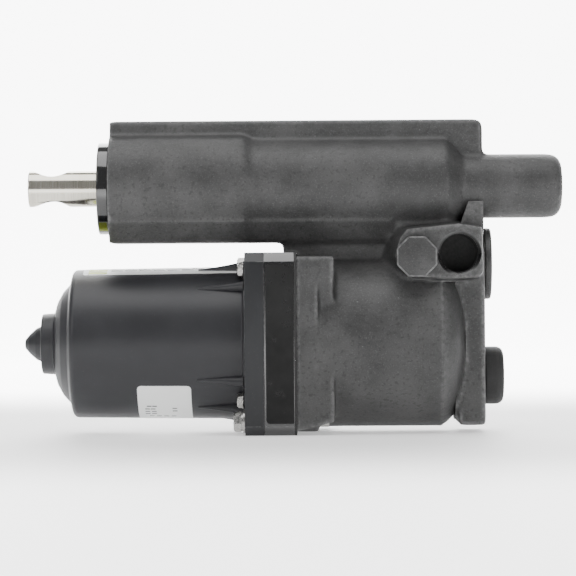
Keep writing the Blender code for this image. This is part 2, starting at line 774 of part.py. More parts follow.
def fasteners():
    for number, (y, z) in enumerate(bolt_places(), 1):
        seat = END_PLATE[0] - GAP
        washer = (1.6 * MM, 6.1 * MM)
        head_end = seat - washer[0]
        head = (head_end - 4.6 * MM, head_end)
        screw_fastener(f"corner_bolt_{number}", y, z, head, 10 * MM, washer, (BOLT_R, BOLT_END))
    for number, (y, z) in enumerate(can_screw_places(), 1):
        seat = CAN_FLANGE[0] - GAP
        washer = (0.8 * MM, 4.4 * MM)
        head_end = seat - washer[0]
        head = (head_end - 3.2 * MM, head_end)
        shank = (2.2 * MM, END_PLATE[0] + 7 * MM)
        screw_fastener(f"can_screw_{number}", y, z, head, 7 * MM, washer, shank)


def field_and_brushes():
    magnet = (-110 * MM, -50 * MM)
    for name, side in (("magnet_upper", 1), ("magnet_lower", -1)):
        ring = ring_profile(*magnet, 31 * MM, CAN_INNER_R - GAP)
        piece = turned(name, ring, MAGNET, MOTOR_Z, FINE)
        z = sorted((MOTOR_Z + side * 12 * MM, MOTOR_Z - side * 60 * MM))
        cut(piece, box_mesh((-120 * MM, -60 * MM, z[0]), (-40 * MM, 60 * MM, z[1])))
    turned("brush_holder", ring_profile(-31 * MM, -27 * MM, 14.6 * MM, 38 * MM), MOULDED_BLACK, MOTOR_Z)
    for name, side in (("brush_front", -1), ("brush_back", 1)):
        y = sorted((side * 13.4 * MM, side * 30 * MM))
        low = (-43 * MM, y[0], MOTOR_Z - 5 * MM)
        add(name, box_mesh(low, (-31.3 * MM, y[1], MOTOR_Z + 5 * MM)), CARBON)
    bush = ring_profile(-136.6 * MM, -130.8 * MM, SHAFT_R + 0.2 * MM, 14.4 * MM)
    turned("armature_rear_bush", bush, BRONZE, MOTOR_Z)


def core_outline():
    """A lamination with its winding slots."""
    outer_r, floor_r, half_mouth = 29.5 * MM, 17 * MM, math.radians(5)
    points = []
    for slot in range(CORE_SLOTS):
        middle = 2 * math.pi * slot / CORE_SLOTS
        for r, widths in ((outer_r, -1), (floor_r, -2), (floor_r, 2), (outer_r, 1)):
            angle = middle + widths * half_mouth
            points.append((r * math.cos(angle), r * math.sin(angle)))
    return points


def windings():
    """Copper bars that lie in the core's slots, joined by a ring of end turns at each end."""
    front, back = (-51 * MM, -48 * MM), (-112 * MM, -109 * MM)
    copper = turned("windings", ring_profile(*front, 14 * MM, 27 * MM), COPPER, MOTOR_Z)
    join(copper, moved(turned_mesh(ring_profile(*back, 14 * MM, 27 * MM), MIDDLE), z=MOTOR_Z))
    for slot in range(CORE_SLOTS):
        bar = box_mesh((back[0] + 1 * MM, 18 * MM, -2 * MM), (front[1] - 1 * MM, 26 * MM, 2 * MM))
        bar.transform(Matrix.Rotation(2 * math.pi * slot / CORE_SLOTS, 4, "X"))
        join(copper, moved(bar, z=MOTOR_Z))


def armature():
    turned(
        "armature_shaft",
        rod_profile((-136 * MM, 0), (12 * MM, SHAFT_R), (28 * MM, 3.4 * MM)),
        STEEL,
        MOTOR_Z,
        COARSE,
    )
    bore = circle(SHAFT_R + GAP, COARSE)
    add("armature_core", plate_mesh([core_outline(), bore], -108 * MM, -52 * MM), STEEL, (0, 0, MOTOR_Z))
    turned("commutator", ring_profile(-46 * MM, -31.5 * MM, SHAFT_R + GAP, 13 * MM), COPPER, MOTOR_Z)
    outline = planet_outline(SUN_TEETH, 0.0)
    sun = plate_mesh([outline, circle(3.7 * MM, 12)], *PLANET_FACE)
    add("sun_gear", sun, STEEL, (0, 0, MOTOR_Z))


# -------------------------------------------------------------------- gearing


def planetary_stage():
    orbit = [2 * math.pi * i / PLANETS for i in range(PLANETS)]
    turns = [outside_turn(SUN_TEETH, 0.0, direction, PLANET_TEETH) for direction in orbit]
    bore_r = 4.0 * MM
    for number, (direction, turn) in enumerate(zip(orbit, turns), 1):
        outlines = [planet_outline(PLANET_TEETH, turn), circle(bore_r + GAP, COARSE)]
        y, z = PLANET_ORBIT_R * math.cos(direction), PLANET_ORBIT_R * math.sin(direction)
        add(f"planet_gear_{number}", plate_mesh(outlines, *PLANET_FACE), STEEL, (0, y, MOTOR_Z + z))
    spaces = gear_outline(
        RING_TEETH,
        PLANET_MODULE,
        PLANET_ANGLE,
        ring_turn(turns[0], orbit[0], PLANET_TEETH, RING_TEETH),
        1.25,
        0.9,
        -PLANET_SLACK,
        False,
    )
    ring = plate_mesh([circle(CASE_BORE_R - GAP, FINE), spaces], 12.5 * MM, 27.5 * MM)
    add("ring_gear", ring, STEEL, (0, 0, MOTOR_Z))
    plate_start = PLANET_FACE[1] + 1.2 * MM
    shaft = rod_profile(
        (plate_start, 0),
        (plate_start + 6 * MM, 30 * MM),
        (61.5 * MM, LARGE_BEARING[0]),
        (74 * MM, 9 * MM),
        (86.5 * MM, SMALL_BEARING[0]),
    )
    carrier = turned("planet_carrier", shaft, STEEL, MOTOR_Z, MIDDLE)
    socket = cylinder_mesh((plate_start - 1 * MM, 0, MOTOR_Z), (29 * MM, 0, MOTOR_Z), 4.2 * MM, sides=COARSE)
    cut(carrier, socket)
    for direction in orbit:
        y = PLANET_ORBIT_R * math.cos(direction)
        z = MOTOR_Z + PLANET_ORBIT_R * math.sin(direction)
        ends = [(x, y, z) for x in (PLANET_FACE[0] - 0.4 * MM, plate_start + 2 * MM)]
        pin = cylinder_mesh(*ends, bore_r, sides=COARSE)
        join(carrier, pin)


def spur_train():
    up = math.pi / 2
    bore_r = 9 * MM + GAP
    idler_turn = outside_turn(PINION_TEETH, 0.0, up, IDLER_TEETH)
    screw_turn = outside_turn(IDLER_TEETH, idler_turn, up, PINION_TEETH)
    spur_gear("drive_pinion", PINION_TEETH, 0.0, bore_r, MOTOR_Z)
    spur_gear("idler_gear", IDLER_TEETH, idler_turn, 8.8 * MM, IDLER_Z)
    spur_gear("screw_gear", PINION_TEETH, screw_turn, bore_r, RAM_Z)
    turned("idler_bush", ring_profile(*SPUR_FACE, 6.35 * MM, 8.5 * MM), BRONZE, IDLER_Z, COARSE)


# ------------------------------------------------------------------------ ram


def thread_mesh(crest_r, root_r, land, start, turns, sides):
    """A right-hand threaded rod along the X axis. Its land lies between two turns of the ball groove."""
    floor = SCREW_LEAD - land - 2 * THREAD_FLANK
    profile = [
        (0, root_r),
        (floor, root_r),
        (floor + THREAD_FLANK, crest_r),
        (floor + THREAD_FLANK + land, crest_r),
        (SCREW_LEAD, root_r),
    ]
    bm = bmesh.new()
    points = [bm.verts.new((start + x, 0, r)) for x, r in profile]
    for first, second in zip(points, points[1:]):
        bm.edges.new((first, second))
    mesh = bpy.data.meshes.new("thread")
    bm.to_mesh(mesh)
    bm.free()
    obj = bpy.data.objects.new("thread", mesh)
    parts.objects.link(obj)
    screw = obj.modifiers.new("helix", "SCREW")
    screw.axis = "X"
    screw.steps = screw.render_steps = sides
    screw.screw_offset = SCREW_LEAD
    screw.iterations = turns
    made = as_mesh(obj)
    bm = bmesh.new()
    bm.from_mesh(made)
    ends = [e for e in bm.edges if e.is_boundary]
    middle = start + (turns + 1) * SCREW_LEAD / 2
    for side in (-1, 1):
        rim = [e for e in ends if side * (sum(v.co.x for v in e.verts) / 2 - middle) > 0]
        low = min(v.co.x for e in rim for v in e.verts)
        high = max(v.co.x for e in rim for v in e.verts)
        centre = bm.verts.new(((low + high) / 2, 0, 0))
        for edge in rim:
            bm.faces.new((*edge.verts, centre))
    bmesh.ops.recalc_face_normals(bm, faces=bm.faces)
    bm.to_mesh(made)
    bm.free()
    return made


def ball_screw():
    steps = rod_profile(
        (THREAD[1] + 0.5 * MM, 0),
        (61.5 * MM, LARGE_BEARING[0]),
        (74 * MM, 9 * MM),
        (SMALL_SEAT + SMALL_BEARING[2] + 1 * MM, SMALL_BEARING[0]),
        (124 * MM, 6 * MM),
    )
    screw = turned("ball_screw", steps, PLATED_STEEL, RAM_Z, COARSE)
    turns = round((THREAD[1] - THREAD[0]) / SCREW_LEAD)
    thread = thread_mesh(THREAD_R, THREAD_ROOT_R, THREAD_LAND, THREAD[0], turns, THREAD_SIDES)
    join(screw, moved(thread, z=RAM_Z))
    nose = rod_profile((SCREW_START, 0), (THREAD[0] + 2 * SCREW_LEAD, THREAD_ROOT_R - 0.4 * MM))
    join(screw, moved(turned_mesh(nose, COARSE), z=RAM_Z))
    lock_nut = plate_mesh([even_polygon(6, 20 * MM), circle(6.4 * MM, COARSE)], 89 * MM, 96 * MM)
    add("screw_lock_nut", lock_nut, STEEL, (0, 0, RAM_Z))
    turned("brake_hub", ring_profile(99 * MM, 121 * MM, 6.4 * MM, 9 * MM), STEEL, RAM_Z)


def ball_nut():
    """Its bore is cut by a thicker copy of the screw's thread, so the two never touch."""
    start, end = NUT
    nut = turned("ball_nut", rod_profile((start, 0), (end, NUT_R)), STEEL, RAM_Z)
    seat = cylinder_mesh((start - 1 * MM, 0, RAM_Z), (start + 10 * MM, 0, RAM_Z), ROD_R + GAP)
    cut(nut, seat)
    grow = 0.7 * MM
    tap_start = THREAD[0] + SCREW_LEAD * 8 + grow / 2
    tap = thread_mesh(THREAD_R + grow, THREAD_ROOT_R + grow, THREAD_LAND + grow, tap_start, 6, THREAD_SIDES)
    cut(nut, moved(tap, z=RAM_Z))
    inner = NUT_R + GAP
    turned("nut_guide_ring", ring_profile(22 * MM, 42 * MM, inner, 23.4 * MM), BRONZE, RAM_Z)


def ram_rod():
    bevel = 0.8 * MM
    profile = [
        (ROD_TIP, 0),
        (ROD_TIP, ROD_R - bevel),
        (ROD_TIP + bevel, ROD_R),
        (ROD_END, ROD_R),
        (ROD_END, ROD_BORE_R),
        (ROD_BORE_START, ROD_BORE_R),
        (ROD_BORE_START - 4 * MM, 0),
    ]
    rod = turned("ram_rod", profile, PLATED_STEEL, RAM_Z, FINE)
    reach = 1 * MM
    through = [(EYE_X, 0, RAM_Z + side * (ROD_R + reach)) for side in (-1, 1)]
    cut(rod, cylinder_mesh(*through, EYE_R))
    for side in (-1, 1):
        mouth = (EYE_X, 0, RAM_Z + side * (ROD_R + reach))
        depth = EYE_MOUTH_R + reach - (EYE_R - 0.5 * MM)
        throat = (EYE_X, 0, mouth[2] - side * depth)
        cut(rod, cylinder_mesh(throat, mouth, EYE_R - 0.5 * MM, EYE_MOUTH_R + reach, sides=32))


main_housing()
blanking_plug()
idler_fittings()
breather_cap()
gland()
bearings()
motor_can()
flange_stack()
fasteners()
field_and_brushes()
armature()
windings()
planetary_stage()
spur_train()
ball_screw()
ball_nut()
ram_rod()
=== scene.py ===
import json
import math
from types import SimpleNamespace

import bmesh
import bpy
import numpy as np
from mathutils import Matrix, Vector

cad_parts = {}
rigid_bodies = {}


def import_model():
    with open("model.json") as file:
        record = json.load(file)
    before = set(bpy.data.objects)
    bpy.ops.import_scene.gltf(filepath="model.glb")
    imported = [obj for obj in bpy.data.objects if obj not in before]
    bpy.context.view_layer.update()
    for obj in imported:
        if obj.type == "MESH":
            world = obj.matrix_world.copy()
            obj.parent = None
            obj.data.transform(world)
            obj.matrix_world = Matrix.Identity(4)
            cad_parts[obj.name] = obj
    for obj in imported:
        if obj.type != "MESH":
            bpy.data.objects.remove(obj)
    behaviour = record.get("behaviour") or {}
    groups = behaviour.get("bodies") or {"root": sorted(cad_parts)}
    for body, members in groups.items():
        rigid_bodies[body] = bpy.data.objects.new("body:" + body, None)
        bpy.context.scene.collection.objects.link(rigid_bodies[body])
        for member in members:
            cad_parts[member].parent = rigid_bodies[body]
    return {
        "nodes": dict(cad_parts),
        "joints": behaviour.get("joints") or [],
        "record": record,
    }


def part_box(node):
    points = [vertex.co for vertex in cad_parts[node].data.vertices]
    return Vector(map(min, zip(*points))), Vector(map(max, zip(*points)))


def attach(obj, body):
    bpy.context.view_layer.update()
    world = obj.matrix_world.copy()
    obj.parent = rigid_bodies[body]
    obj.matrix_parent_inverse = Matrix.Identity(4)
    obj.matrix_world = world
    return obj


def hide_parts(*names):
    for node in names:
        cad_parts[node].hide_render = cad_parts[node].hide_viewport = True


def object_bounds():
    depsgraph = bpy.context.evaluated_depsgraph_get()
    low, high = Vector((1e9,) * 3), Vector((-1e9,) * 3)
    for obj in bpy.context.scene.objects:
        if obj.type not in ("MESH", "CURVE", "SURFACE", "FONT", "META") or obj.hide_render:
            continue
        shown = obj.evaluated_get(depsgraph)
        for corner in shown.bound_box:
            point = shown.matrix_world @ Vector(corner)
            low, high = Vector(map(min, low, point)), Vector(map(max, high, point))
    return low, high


for old in list(bpy.data.objects):
    bpy.data.objects.remove(old, do_unlink=True)

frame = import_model()
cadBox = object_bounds()
mm = 0.001
print("frame in, box", [tuple(round(v / mm, 1) for v in corner) for corner in cadBox])


def inMetres(sizes):
    # settings and outlines are written in millimetres; a dictionary's keys become names
    if isinstance(sizes, dict):
        return SimpleNamespace(**{key: inMetres(value) for key, value in sizes.items()})
    if isinstance(sizes, (list, tuple)):
        return [inMetres(value) for value in sizes]
    return sizes if isinstance(sizes, str) else sizes * mm


# where things are, from the frame

def jointPlace(name):
    return next(Vector(j["pos_m"]) for j in frame["joints"] if j["name"] == name)


motorZ = jointPlace("armature_spin").z
idlerZ = jointPlace("idler_spin").z
ramZ = jointPlace("screw_spin").z


def spanX(node):
    low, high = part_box(node)
    return low.x, high.x


def centreYZ(node):
    low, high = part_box(node)
    return (low.y + high.y) / 2, (low.z + high.z) / 2


def boltPlaces():
    return [centreYZ(node) for node in frame["nodes"] if node.startswith("corner_bolt")]


# material building

def newMaterial(name):
    material = bpy.data.materials.new(name)
    material.use_nodes = True
    tree = material.node_tree
    return material, tree, tree.nodes["Principled BSDF"]


def addNode(tree, kind, inputs=None, **settings):
    node = tree.nodes.new(kind)
    for key, value in settings.items():
        setattr(node, key, value)
    for key, value in (inputs or {}).items():
        if isinstance(value, bpy.types.NodeSocket):
            tree.links.new(value, node.inputs[key])
        else:
            node.inputs[key].default_value = value
    return node


def objectPoint(tree, stretch=(1, 1, 1)):
    source = addNode(tree, "ShaderNodeTexCoord")
    point = source.outputs["Object"]
    return addNode(tree, "ShaderNodeMapping", {"Vector": point, "Scale": stretch}).outputs["Vector"]


def noise(tree, point, scale, detail=2.0, rough=0.5, distortion=0.0):
    return addNode(tree, "ShaderNodeTexNoise", {
        "Vector": point, "Scale": scale, "Detail": detail, "Roughness": rough, "Distortion": distortion,
    }).outputs["Fac"]


def remap(tree, value, low, high, toLow, toHigh, smooth=False):
    kind = "SMOOTHSTEP" if smooth else "LINEAR"
    settings = {"Value": value, "From Min": low, "From Max": high, "To Min": toLow, "To Max": toHigh}
    return addNode(tree, "ShaderNodeMapRange", settings, interpolation_type=kind).outputs["Result"]


def math2(tree, operation, a, b, clamp=False):
    node = addNode(tree, "ShaderNodeMath", {0: a, 1: b}, operation=operation, use_clamp=clamp)
    return node.outputs["Value"]


def named(sockets, identifier):
    return next(s for s in sockets if s.identifier == identifier)


def blendColours(tree, factor, a, b):
    node = addNode(tree, "ShaderNodeMix", data_type="RGBA")
    for key, value in (("Factor_Float", factor), ("A_Color", a), ("B_Color", b)):
        socket = named(node.inputs, key)
        if isinstance(value, bpy.types.NodeSocket):
            tree.links.new(value, socket)
        else:
            socket.default_value = value
    return named(node.outputs, "Result_Color")


def grey(value, warm=0.0):
    return (value * (1 + warm), value, value * (1 - warm), 1)


def joinLook(tree, shader, base, rough):
    tree.links.new(base, shader.inputs["Base Color"])
    tree.links.new(rough, shader.inputs["Roughness"])


def wearAndSheenPatches(tree, wearAndSheenBreakup):
    # the edge mark: paint worn to bare metal, mixed with a painted highlight that stands for bevel reflections
    wearAndSheenMask = addNode(tree, "ShaderNodeAttribute", attribute_name="wearAndSheen").outputs["Fac"]
    return math2(tree, "MULTIPLY", wearAndSheenMask, wearAndSheenBreakup, True)


def addBump(tree, shader, *layers):
    # layers are (height socket, strength, depth in metres), finest last
    normal = None
    for height, strength, depth in layers:
        inputs = {"Height": height, "Strength": strength, "Distance": depth}
        if normal is not None:
            inputs["Normal"] = normal
        normal = addNode(tree, "ShaderNodeBump", inputs).outputs["Normal"]
    tree.links.new(normal, shader.inputs["Normal"])


def castPaint(name, look):
    material, tree, shader = newMaterial(name)
    point = objectPoint(tree)
    mottle = noise(tree, point, look["mottleScale"], 5, 0.6)
    cloud = noise(tree, point, look["cloudScale"], 3, 0.5, 0.4)
    grain = noise(tree, point, look["grainScale"], 2, 0.6)
    pits = noise(tree, point, look["pitScale"], 1, 0.5)
    mottle = remap(tree, mottle, 0.35, 0.68, 0, 1, True)
    base = blendColours(tree, mottle, grey(look["dark"]), grey(look["light"]))
    base = blendColours(tree, remap(tree, cloud, 0.45, 0.75, 0, 0.55, True), base, grey(look["haze"], 0.01))
    base = blendColours(tree, remap(tree, grain, 0.54, 0.74, 0, 0.6), base, grey(look["speck"]))
    base = blendColours(tree, remap(tree, pits, 0.30, 0.42, 0.5, 0), base, grey(look["dark"] * 0.5))
    # painted glints: scattered bright specks mixed into the colour, standing in for sparkle
    glint = noise(tree, point, look["grainScale"] * 0.55, 0, 0.5)
    base = blendColours(tree, remap(tree, glint, 0.84, 0.92, 0, 0.35), base, grey(look["bare"]))
    # edges: worn paint together with a painted edge highlight
    wearAndSheenBreakup = remap(tree, noise(tree, point, 420, 4, 0.7), 0.38, 0.62, 0.2, 0.8)
    base = blendColours(tree, wearAndSheenPatches(tree, wearAndSheenBreakup), base, grey(look["bare"]))
    joinLook(tree, shader, base, remap(tree, cloud, 0.3, 0.7, *look["rough"]))
    shader.inputs["Specular IOR Level"].default_value = look["specular"]
    peel = noise(tree, point, look["peelScale"], 2, 0.5)
    addBump(tree, shader, (peel, 0.5, 0.0004), (pits, 0.35, 0.0003), (grain, 0.45, 0.00016))
    return material


def smoothPaint(name, look):
    material, tree, shader = newMaterial(name)
    point = objectPoint(tree)
    drift = noise(tree, point, 30, 3)
    dust = noise(tree, point, 900, 4, 0.7)
    base = blendColours(tree, remap(tree, drift, 0.3, 0.7, 0, 1), (*look["dark"], 1), (*look["light"], 1))
    base = blendColours(tree, remap(tree, dust, 0.62, 0.8, 0, look["dust"]), base, grey(0.3))
    # edges: worn paint together with a painted edge highlight
    wearAndSheenBreakup = remap(tree, noise(tree, point, 380, 4, 0.7), 0.4, 0.65, 0, look["wearAndSheen"])
    base = blendColours(tree, wearAndSheenPatches(tree, wearAndSheenBreakup), base, grey(look["bare"]))
    joinLook(tree, shader, base, remap(tree, drift, 0.3, 0.7, *look["rough"]))
    shader.inputs["Specular IOR Level"].default_value = look["specular"]
    shader.inputs["Coat Weight"].default_value = look["coat"]
    shader.inputs["Coat Roughness"].default_value = look["coatRough"]
    peel = noise(tree, point, look["peelScale"], 2)
    addBump(tree, shader, (peel, look["peel"], 0.0002), (dust, 0.12, 0.00006))
    return material


def turnedMetal(name, dark, light, rough, bump, grain):
    # a turned or ground finish, with fine lines round the X axis
    material, tree, shader = newMaterial(name)
    fine = noise(tree, objectPoint(tree, grain), 1, 3, 0.6)
    drift = noise(tree, objectPoint(tree), 45, 3)
    tone = remap(tree, math2(tree, "ADD", fine, drift), 0.7, 1.3, 0, 1)
    base = blendColours(tree, tone, (*dark, 1), (*light, 1))
    joinLook(tree, shader, base, remap(tree, fine, 0.3, 0.7, *rough))
    shader.inputs["Metallic"].default_value = 1.0
    addBump(tree, shader, (fine, bump, 0.00005))
    return material


def darkCompound(name, scale, dark, light, rough, specular=0.5):
    # rubber, moulded plastic, ferrite and carbon
    material, tree, shader = newMaterial(name)
    point = objectPoint(tree)
    fine = noise(tree, point, scale, 3, 0.6)
    drift = noise(tree, point, 60, 2)
    base = blendColours(tree, remap(tree, drift, 0.3, 0.7, 0, 1), grey(dark), grey(light))
    base = blendColours(tree, remap(tree, fine, 0.55, 0.8, 0, 0.4), base, grey(light * 2))
    joinLook(tree, shader, base, remap(tree, fine, 0.3, 0.7, *rough))
    shader.inputs["Specular IOR Level"].default_value = specular
    addBump(tree, shader, (fine, 0.3, 0.00012))
    return material


def printedPaper(name, tone, rough):
    material, tree, shader = newMaterial(name)
    point = objectPoint(tree)
    fibre = noise(tree, point, 1800, 3, 0.6)
    stain = noise(tree, point, 70, 3)
    full, stained, shaded = [(*[c * share for c in tone], 1) for share in (1, 0.9, 0.7)]
    base = blendColours(tree, remap(tree, stain, 0.35, 0.7, 0, 0.2), full, stained)
    base = blendColours(tree, remap(tree, fibre, 0.5, 0.8, 0, 0.15), base, shaded)
    joinLook(tree, shader, base, remap(tree, stain, 0.3, 0.7, rough, rough + 0.12))
    addBump(tree, shader, (fibre, 0.1, 0.00003))
    return material


castLook = {
    "mottleScale": 48, "cloudScale": 24, "grainScale": 1350, "pitScale": 520, "peelScale": 300,
    "dark": 0.024, "light": 0.042, "haze": 0.074, "speck": 0.09, "bare": 0.19,
    "rough": (0.44, 0.60), "specular": 0.55,
}
glossLook = {
    "dark": (0.003, 0.003, 0.0035), "light": (0.006, 0.006, 0.007), "rough": (0.08, 0.16), "dust": 0.05,
    "coat": 1.0, "coatRough": 0.03, "peelScale": 240, "peel": 0.06, "wearAndSheen": 0.5, "bare": 0.2,
    "specular": 0.7,
}
canLook = {
    "dark": (0.015, 0.0152, 0.018), "light": (0.022, 0.0223, 0.026), "rough": (0.38, 0.46), "dust": 0.08,
    "coat": 0.05, "coatRough": 0.3, "peelScale": 700, "peel": 0.12, "wearAndSheen": 0.4, "bare": 0.2,
    "specular": 0.45,
}
plateLook = {
    "dark": (0.014, 0.0145, 0.016), "light": (0.022, 0.023, 0.026), "rough": (0.3, 0.42), "dust": 0.12,
    "coat": 0.0, "coatRough": 0.2, "peelScale": 600, "peel": 0.1, "wearAndSheen": 0.6, "bare": 0.18, "specular": 0.4,
}
finishes = {
    "cast_black": castPaint("castPaint", castLook),
    "gloss_black": smoothPaint("glossPaint", glossLook),
    "can_black": smoothPaint("canPaint", canLook),
    "plate_black": smoothPaint("platePaint", plateLook),
}
# scale, dark, light and roughness
compounds = {
    "moulded_black": ("mouldedPlastic", 260, 0.0015, 0.006, (0.2, 0.5)),
    "rubber": ("sealRubber", 1200, 0.012, 0.02, (0.55, 0.75)),
    "magnet": ("ferrite", 1500, 0.05, 0.08, (0.5, 0.7)),
    "carbon": ("carbonBrush", 1500, 0.02, 0.035, (0.4, 0.6)),
}
# dark, light, roughness, bump and grain
metals = {
    "plated_steel": ("nickelPlate", (0.6, 0.57, 0.48), (0.84, 0.81, 0.72), (0.09, 0.2), 0.15, (2600, 40, 40)),
    "zinc": ("zincPlate", (0.34, 0.34, 0.34), (0.62, 0.61, 0.58), (0.2, 0.38), 0.4, (900, 900, 900)),
    "steel": ("machinedSteel", (0.32, 0.32, 0.33), (0.56, 0.56, 0.57), (0.2, 0.36), 0.3, (1800, 60, 60)),
    "bronze": ("bearingBronze", (0.42, 0.26, 0.1), (0.66, 0.45, 0.2), (0.25, 0.4), 0.3, (1600, 60, 60)),
    "copper": ("windingCopper", (0.55, 0.22, 0.1), (0.85, 0.42, 0.24), (0.25, 0.4), 0.4, (60, 2500, 2500)),
}
for build, table in ((darkCompound, compounds), (turnedMetal, metals)):
    for slot, values in table.items():
        finishes[slot] = build(*values)
paperWhite = printedPaper("labelWhite", (0.95, 0.96, 0.95), 0.35)
paperGreen = printedPaper("labelGreen", (0.55, 0.66, 0.05), 0.35)
inkDark = printedPaper("labelInk", (0.05, 0.05, 0.055), 0.4)
# near-black: painted shade for the inside of the deep trunnion sockets
socketShadeDark = darkCompound("socketPaintedShade", 700, 0.002, 0.004, (0.5, 0.7))
panelDark = darkCompound("panelPlastic", 160, 0.0012, 0.008, (0.22, 0.6), 0.3)
wornRim = turnedMetal("countersinkEdge", (0.04,) * 3, (0.13,) * 3, (0.22, 0.4), 0.2, (60, 60, 60))
print("materials made:", len(bpy.data.materials))

slotOf = {s["node"]: s["material_slot"] for s in frame["record"]["subparts"]}
for node, piece in frame["nodes"].items():
    piece.data.materials.clear()
    piece.data.materials.append(finishes[slotOf[node]])


# mesh building

def meshFrom(bm, name):
    bmesh.ops.remove_doubles(bm, verts=bm.verts, dist=1e-7)
    bmesh.ops.recalc_face_normals(bm, faces=bm.faces)
    mesh = bpy.data.meshes.new(name)
    bm.to_mesh(mesh)
    bm.free()
    return mesh


def evaluated(piece):
    # the piece's mesh with its modifiers applied; the piece is used up
    bpy.context.view_layer.update()
    graph = bpy.context.evaluated_depsgraph_get()
    mesh = bpy.data.meshes.new_from_object(piece.evaluated_get(graph))
    bpy.data.objects.remove(piece)
    return mesh


def holder(mesh, name="work"):
    piece = bpy.data.objects.new(name, mesh)
    bpy.context.scene.collection.objects.link(piece)
    return piece


def carve(mesh, tools, operation="DIFFERENCE"):
    piece = holder(mesh)
    used = []
    for number, cutter in enumerate(tools):
        helper = holder(cutter, f"cutter{number}")
        helper.hide_render = True
        used.append(helper)
        step = piece.modifiers.new(f"cut{number}", "BOOLEAN")
        step.operation = operation
        step.solver = "EXACT"
        step.object = helper
    made = evaluated(piece)
    for helper in used:
        bpy.data.objects.remove(helper)
    return made


def arcPoints(centre, radius, start, end, count):
    angles = [start + (end - start) * i / (count - 1) for i in range(count)]
    return [(centre[0] + radius * math.cos(a), centre[1] + radius * math.sin(a)) for a in angles]


def softened(corners, steps=6):
    # corners are (a, b, radius); each becomes an arc that touches both of its sides
    made = []
    count = len(corners)
    for i, (a, b, radius) in enumerate(corners):
        here = Vector((a, b))
        before, after = Vector(corners[i - 1][:2]), Vector(corners[(i + 1) % count][:2])
        if radius <= 0:
            made.append(tuple(here))
            continue
        u, v = (before - here).normalized(), (after - here).normalized()
        half = max(u.angle(v) / 2, 0.01)
        reach = min(radius / math.tan(half), (before - here).length * 0.49, (after - here).length * 0.49)
        start, end = here + u * reach, here + v * reach
        for k in range(steps + 1):
            t = k / steps
            made.append(tuple(start.lerp(here, t).lerp(here.lerp(end, t), t)))
    return made


def lathe(profile, steps=144, z=0.0, closed=True):
    # spins (x, radius) points round the X axis at height z
    bm = bmesh.new()
    points = [bm.verts.new((x, 0, max(r, 0))) for x, r in profile]
    pairs = list(zip(points, points[1:]))
    if closed and (profile[0][1] > 1e-6 or profile[-1][1] > 1e-6):
        pairs.append((points[-1], points[0]))
    for first, second in pairs:
        bm.edges.new((first, second))
    bmesh.ops.spin(
        bm, geom=list(bm.verts) + list(bm.edges), axis=(1, 0, 0), cent=(0, 0, 0),
        angle=2 * math.pi, steps=steps, use_merge=True, use_duplicate=False)
    bmesh.ops.remove_doubles(bm, verts=bm.verts, dist=1e-7)
    bmesh.ops.dissolve_degenerate(bm, dist=1e-8, edges=bm.edges)
    bm.transform(Matrix.Translation((0, 0, z)))
    return meshFrom(bm, "lathe")


def loft(rings):
    bm = bmesh.new()
    loops = [[bm.verts.new(p) for p in ring] for ring in rings]
    bm.faces.new(loops[0])
    bm.faces.new(loops[-1])
    for near, far in zip(loops, loops[1:]):
        for i in range(len(near)):
            j = (i + 1) % len(near)
            bm.faces.new((near[i], near[j], far[j], far[i]))
    return meshFrom(bm, "loft")


def slabMesh(outline, start, end, axis="X", z=0.0):
    # an outline in (y, z) pushed along X, or in (x, z) pushed along Y
    return loft([[(along, a, b + z) if axis == "X" else (a, along, b + z) for a, b in outline]
                 for along in (start, end)])


def boxMesh(low, high):
    outline = [(low[1], low[2]), (high[1], low[2]), (high[1], high[2]), (low[1], high[2])]
    return slabMesh(outline, low[0], high[0])


def pin(start, end, radius, endRadius=None, sides=64):
    start, end = Vector(start), Vector(end)
    bm = bmesh.new()
    second = radius if endRadius is None else endRadius
    bmesh.ops.create_cone(
        bm, cap_ends=True, segments=sides, radius1=radius, radius2=second, depth=(end - start).length)
    turn = (end - start).to_track_quat("Z", "Y").to_matrix().to_4x4()
    bm.transform(Matrix.Translation((start + end) / 2) @ turn)
    return meshFrom(bm, "pin")


def chamferedSquare(half, chamfer):
    c = half - chamfer
    return [(half, -c), (half, c), (c, half), (-c, half), (-half, c), (-half, -c), (-c, -half), (c, -half)]


def polygon(sides, flats, turn=0.0):
    radius = flats / 2 / math.cos(math.pi / sides)
    turns = [turn + 2 * math.pi * i / sides for i in range(sides)]
    return [(radius * math.cos(a), radius * math.sin(a)) for a in turns]


def edgeEnds(mesh):
    ends = np.empty(len(mesh.edges) * 2, np.int32)
    mesh.edges.foreach_get("vertices", ends)
    return ends.reshape(-1, 2).T


def pointPlaces(mesh):
    places = np.empty(len(mesh.vertices) * 3, np.float32)
    mesh.vertices.foreach_get("co", places)
    return places.reshape(-1, 3)


def neighbourSum(a, b, values):
    # for each point, the sum over the points that an edge joins to it
    count = len(values)
    return np.bincount(a, values[b], count) + np.bincount(b, values[a], count)


def relaxed(mesh, firmness, rounds):
    # moves each point towards its neighbours' middle, less so where the shape is to stay crisp
    a, b = edgeEnds(mesh)
    places = pointPlaces(mesh).astype(float)
    tally = neighbourSum(a, b, np.ones(len(places)))
    give = 0.5 * (1 - firmness(places))
    for _ in range(rounds):
        for k in range(3):
            middle = neighbourSum(a, b, places[:, k]) / tally
            places[:, k] += give * (middle - places[:, k])
    mesh.vertices.foreach_set("co", places.astype(np.float32).ravel())
    mesh.update()
    return mesh


def merged(*meshes):
    bm = bmesh.new()
    for mesh in meshes:
        bm.from_mesh(mesh)
    joined = bpy.data.meshes.new("joined")
    bm.to_mesh(joined)
    bm.free()
    return joined


